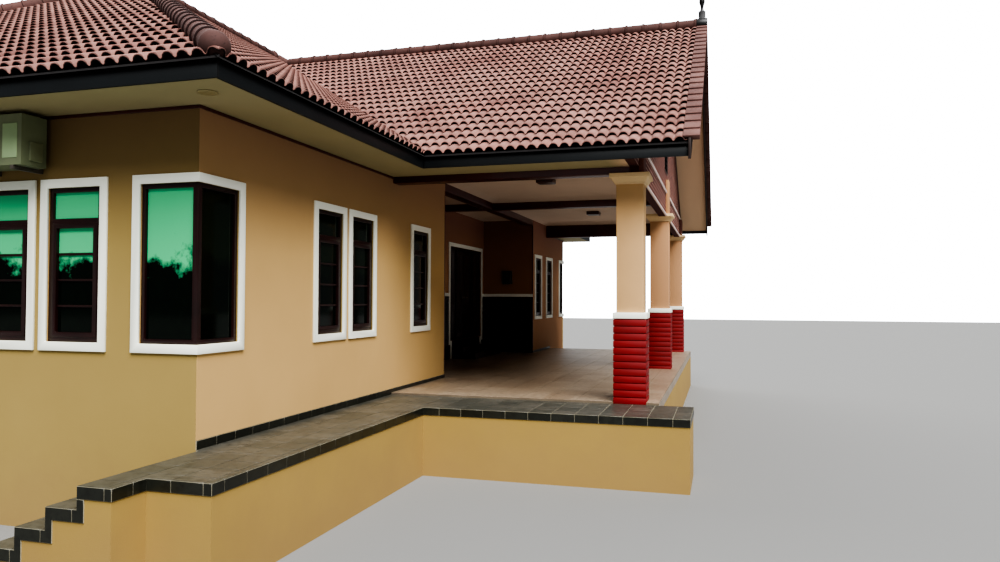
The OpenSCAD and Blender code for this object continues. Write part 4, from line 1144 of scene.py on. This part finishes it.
def odd_tone(name, first, second, third, size, roughness=0.8):
    """Tiles or bricks that each have their own tone, by the cell of this size that they lie in."""
    material = finish(name, first, roughness)
    spot = {0: places(material), 1: tuple(1 / length for length in size)}
    cell = node(material, "ShaderNodeVectorMath", spot, operation="MULTIPLY").outputs[0]
    number = node(material, "ShaderNodeVectorMath", {0: cell}, operation="FLOOR").outputs[0]
    each = blend(material, own_tone(material, number), first, second)
    cloud = sharpen(material, noise(material, 14.0, 5.0, 0.65), 0.45, 0.75)
    stained = blend(material, cloud, each, third)
    return wear(material, stained, bump=noise(material, 90.0, 5.0), strength=0.3)


print("tiles can be laid")

# %% [markdown]
# The gable wall is faced with brown red bricks, about 200 by 65 mm to view, in a running bond:
# every other course is shifted by half a brick. Level cuts make the courses, and upright cuts go
# through every second course only. The solid behind is the mortar, pale on the outside. On the
# faces that look into the roof or along the wall it has the bricks' dark red, because no bricks are
# laid there. The mouldings, the louvred vent and the cover boards are copies of their solids.

# %% Face the gable with bricks
BRICK_LONG, BRICK_HIGH = 0.21, 0.075  # each with its joint
MORTAR_JOINT = 0.012
BRICK_RISE = 0.001

brick_clay = odd_tone(
    "Brick_clay", srgb(92, 42, 35), srgb(128, 68, 56), srgb(66, 34, 30), (10, BRICK_LONG, BRICK_HIGH)
)
mortar = mottled("Pale_mortar", srgb(214, 184, 168), 0.12, 5.0, 0.9, grain=120)
outer_face = sharpen(mortar, axis_of(mortar, normals(mortar), "X"), 0.4, 0.6)
wear(mortar, blend(mortar, outer_face, srgb(74, 26, 22), worn_colour(mortar)))
coat(solids["gable_wall"], mortar)

gable_low, gable_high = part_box("gable_wall")
bricks = copy_solid("gable_wall", "Gable_bricks")
keep_faces(bricks, lambda middle, normal: normal.x > 0.9)
levels = steps_between(gable_low.z, gable_high.z, BRICK_HIGH, start=gable_low.z)
cut_faces(bricks, UP, levels[1:])


def in_course(parity):
    """A test for the even or the odd courses."""
    return lambda middle, normal: int((middle.z - gable_low.z) // BRICK_HIGH) % 2 == parity


for parity in (0, 1):
    bond = gable_low.y + parity * BRICK_LONG / 2
    joints = steps_between(gable_low.y, gable_high.y, BRICK_LONG, start=bond)
    cut_faces(bricks, DEEP, joints, in_course(parity))
raise_tiles(bricks, MORTAR_JOINT, BRICK_RISE, 0)
hand_over(bricks, brick_clay, "gable_brick")

moulding_paint = mottled("Moulding_paint", srgb(236, 218, 210), 0.05, 2.0, 0.6)
dress("gable_mouldings", moulding_paint, "white_trim", 0.012, 3)
dress("gable_vent", iron, "vent_black", 0.002, 1, name="Gable_louvre")
dress("gable_covers", beam_stain, "beam_maroon", 0.003)

# %% [markdown]
# The walkway, the side steps and the skirting have dark grey tiles of 300 mm, darker on their
# upright edges. The porch floor has beige tiles of 400 mm, the entrance steps have near-black
# maroon ones, and a dado of the same colour stands in the recess under a white rail. The joints of
# a floor can't be cut into a solid that ends at the tiles' top, so the grout is a copy of the solid
# with the tiled sides drawn in by the rise of the tiles. The tiles then end where the solid did.

# %% Tile the floors and the dado
GROUT_JOINT = 0.005
TILE_RISE = 0.003
TILE_EDGE = 0.0012
CORNER = (CORNER_X, CORNER_Y, FLOOR_Z)

dado_tile = odd_tone(
    "Dado_tile", srgb(40, 14, 14), srgb(56, 20, 18), srgb(24, 10, 10), (0.2, 0.2, 0.3), roughness=0.2
)
walk_tile = odd_tone(
    "Walkway_tile", srgb(66, 67, 60), srgb(86, 84, 76), srgb(52, 51, 46), (0.3, 0.3, 10), roughness=0.38
)
edge_tile = odd_tone(
    "Edge_tile", srgb(30, 32, 26), srgb(42, 43, 36), srgb(24, 24, 20), (0.3, 0.3, 10), roughness=0.3
)
porch_tile = odd_tone(
    "Porch_tile", srgb(136, 118, 98), srgb(154, 138, 118), srgb(112, 96, 80), (0.4, 0.4, 10), roughness=0.35
)
pale_grout = mottled("Pale_grout", srgb(150, 144, 124), 0.15, 4.0, 0.9)
dark_grout = mottled("Dark_grout", srgb(40, 30, 27), 0.15, 4.0, 0.9)
beige_grout = mottled("Beige_grout", srgb(110, 98, 82), 0.15, 4.0, 0.9)
GREY = (walk_tile, edge_tile, pale_grout)  # tiles on top, tiles on the upright sides, grout
BEIGE = (porch_tile, porch_tile, beige_grout)
MAROON = (dado_tile, dado_tile, dark_grout)


def tile_side(bed, side, sizes, low, high):
    """The tiles on one side of a bed, or nothing where the bed has no such side."""
    piece = twin(bed)
    keep_faces(piece, lambda middle, normal: normal.dot(side) >= 0.9)
    if not piece.data.polygons:
        bpy.data.objects.remove(piece)
        return None
    for axis, direction in enumerate((SIDE, DEEP, UP)):
        if abs(side[axis]) < 0.5 and sizes[axis]:
            joints = steps_between(low[axis], high[axis], sizes[axis], start=CORNER[axis])
            cut_faces(piece, direction, joints)
    return raise_tiles(piece, GROUT_JOINT, TILE_RISE, TILE_EDGE)


def pave(node_name, name, sizes, materials, slot_name, sides):
    """Lay tiles on the given sides of a solid; a size of 0 leaves that direction uncut."""
    top, edge, grout = materials
    bed = copy_solid(node_name, name)
    for side in sides:
        edit(bed)
        choose(lambda middle, normal: normal.dot(side) > 0.99)
        bpy.ops.transform.translate(value=-TILE_RISE * side)
        done()
    laid = [(side, tile_side(bed, side, sizes, *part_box(node_name))) for side in sides]
    laid = [(side, piece) for side, piece in laid if piece]
    coat(bed, grout)
    for side, piece in laid:
        coat(piece, top if side.z > 0.5 else edge)
    hand_over(join(name, bed, *(piece for side, piece in laid)), None, slot_name, node_name)


pave("walkway_tiles", "Walkway_paving", (0.3, 0.3, 0), GREY, "walkway_tile", (UP, -DEEP, SIDE, -SIDE))
pave("step_tiles", "Step_paving", (0.3, 0.3, 0), GREY, "walkway_tile", (UP, -DEEP, -SIDE))
pave("skirting_tiles", "Skirting_paving", (0.3, 0.3, 0), GREY, "walkway_tile", (SIDE, -DEEP, UP))
pave("porch_floor", "Porch_paving", (0.4, 0.4, 0), BEIGE, "porch_tile", (UP, SIDE))
pave("entrance_steps", "Entrance_paving", (0.3, 0.3, 0), MAROON, "step_tile", (UP, SIDE, -DEEP, DEEP))
pave("dado_tiles", "Dado_facing", (0.2, 0.2, 0.3), MAROON, "dado_tile", (SIDE, -DEEP, DEEP))
coat(solids["ground_floor"], mottled("Floor_screed", srgb(170, 160, 144), 0.08, 1.0, 0.7))

# %% [markdown]
# ## Door and fittings
# The entrance has a white surround, a dark timber frame with panelled side lights, and two leaves
# that open inwards. The leaves ride on their own bodies, so they swing with the solids' hinges.
# Below the frame a thin tiled riser closes the last step.

# %% Dress the entrance
DOORWAY = (10.69, 13.08)
RECESS_DEEP = 1.357
RISER_THICK = 0.008

dress("door_surround", white_trim, "white_trim", 0.005)
dress("door_frame", timber, "frame_timber", 0.002)
dress("door_side_panels", timber, "frame_timber", 0.004)
dress("door_leaf_left", timber, "frame_timber", 0.003, body="left_leaf", name="Left_leaf")
dress("door_leaf_right", timber, "frame_timber", 0.003, body="right_leaf", name="Right_leaf")
dress("dado_rail", white_trim, "white_trim", 0.008, 3)
door_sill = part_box("door_frame")[0].z
riser = box(
    "Door_riser",
    here(-RECESS_DEEP, DOORWAY[0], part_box("entrance_steps")[1].z - FLOOR_Z),
    here(-RECESS_DEEP + RISER_THICK, DOORWAY[1], door_sill - FLOOR_Z),
)
soften(riser, 0.002, 1)
hand_over(riser, dado_tile, "step_tile")

# %% [markdown]
# A lever handle sits on each leaf, beside the meeting edge. Its rose is a short cylinder, the neck
# a thinner one, and the lever a block with rounded edges. The handle rides with its leaf. The photo
# does not show the handles, so their form is a plain guess.

# %% Fit the door handles
HANDLE_HIGH, HANDLE_IN = 1.02, 0.060  # over the sill, and from the meeting edge
LEVER_LONG, LEVER_HALF = 0.115, 0.009  # its reach, and half its height
LEVER_OUT = (0.040, 0.054)  # from the face of the leaf to the lever's two sides

steel = mottled("Handle_steel", srgb(150, 146, 138), 0.1, 20.0, 0.3, grain=200, strength=0.05)
shader_of(steel).inputs["Metallic"].default_value = 1.0


def rod(name, radius, length, place):
    """A cylinder laid along X, its near end at a place."""
    bpy.ops.mesh.primitive_cylinder_add(
        vertices=24, radius=radius, depth=length, rotation=(0, math.pi / 2, 0),
        location=(place[0] + length / 2, place[1], place[2]),
    )
    made = bpy.context.object
    made.name = name
    settle()
    return made


for leaf, way in (("left", -1), ("right", 1)):
    low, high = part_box("door_leaf_" + leaf)
    meeting = high.y if way < 0 else low.y
    at = Vector((high.x, meeting + way * HANDLE_IN, door_sill + HANDLE_HIGH))
    reach = way * LEVER_LONG
    lever = box(
        "Lever",
        at + Vector((LEVER_OUT[0], min(0, reach), -LEVER_HALF)),
        at + Vector((LEVER_OUT[1], max(0, reach), LEVER_HALF)),
    )
    handle = join("Handle_" + leaf, rod("Rose", 0.026, 0.008, at), rod("Neck", 0.009, 0.050, at), lever)
    soften(handle, 0.003, 2)
    hand_over(handle, steel, "frame_timber", body=leaf + "_leaf")

# %% [markdown]
# The outdoor unit hangs under the soffit beside the windows. Its housing with the round fan guard
# is a copy of the solid. A paler cover plate sits on its front and a valve cover on its right side.
# Nothing is written on it. Its bracket and the meter box are copies of their solids too.

# %% Dress the outdoor unit and the meter box
COVER_SHARE = 0.30  # of the unit's width, at its right end

unit_low, unit_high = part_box("condenser_unit")
cover_left = unit_high.x - COVER_SHARE * (unit_high.x - unit_low.x)
cover = box(
    "Cover_plate",
    (cover_left, unit_low.y - 0.006, unit_low.z + 0.07),
    (unit_high.x - 0.05, unit_low.y + 0.006, unit_high.z - 0.09),
)
soften(cover, 0.005, 3)
hand_over(cover, mottled("Cover_paint", srgb(158, 180, 138), 0.06, 4.0, 0.45), "condenser_case")
valve = box(
    "Valve_cover",
    (unit_high.x - 0.004, unit_low.y + 0.09, unit_low.z + 0.05),
    (unit_high.x + 0.014, unit_low.y + 0.24, unit_low.z + 0.24),
)
soften(valve, 0.008, 3)
hand_over(valve, mottled("Valve_paint", srgb(126, 132, 102), 0.1, 6.0, 0.5), "condenser_case")
shell_paint = mottled("Unit_shell_paint", srgb(118, 126, 98), 0.14, 3.0, 0.5, grain=70, strength=0.1)
dress("condenser_unit", shell_paint, "condenser_case", 0.006, 2, name="Condenser")
bracket_paint = mottled("Bracket_steel", srgb(90, 84, 76), 0.3, 12.0, 0.5)
dress("condenser_bracket", bracket_paint, "bracket_steel", 0.002)
meter_plastic = mottled("Meter_plastic", srgb(42, 38, 36), 0.2, 6.0, 0.4)
dress("meter_box", meter_plastic, "meter_case", 0.008, 3, name="Meter_cabinet")

# %% [markdown]
# The one cell of the tile pattern has served, so it is taken out.

# %% Remove the pattern piece and finish
bpy.data.objects.remove(first_cell)
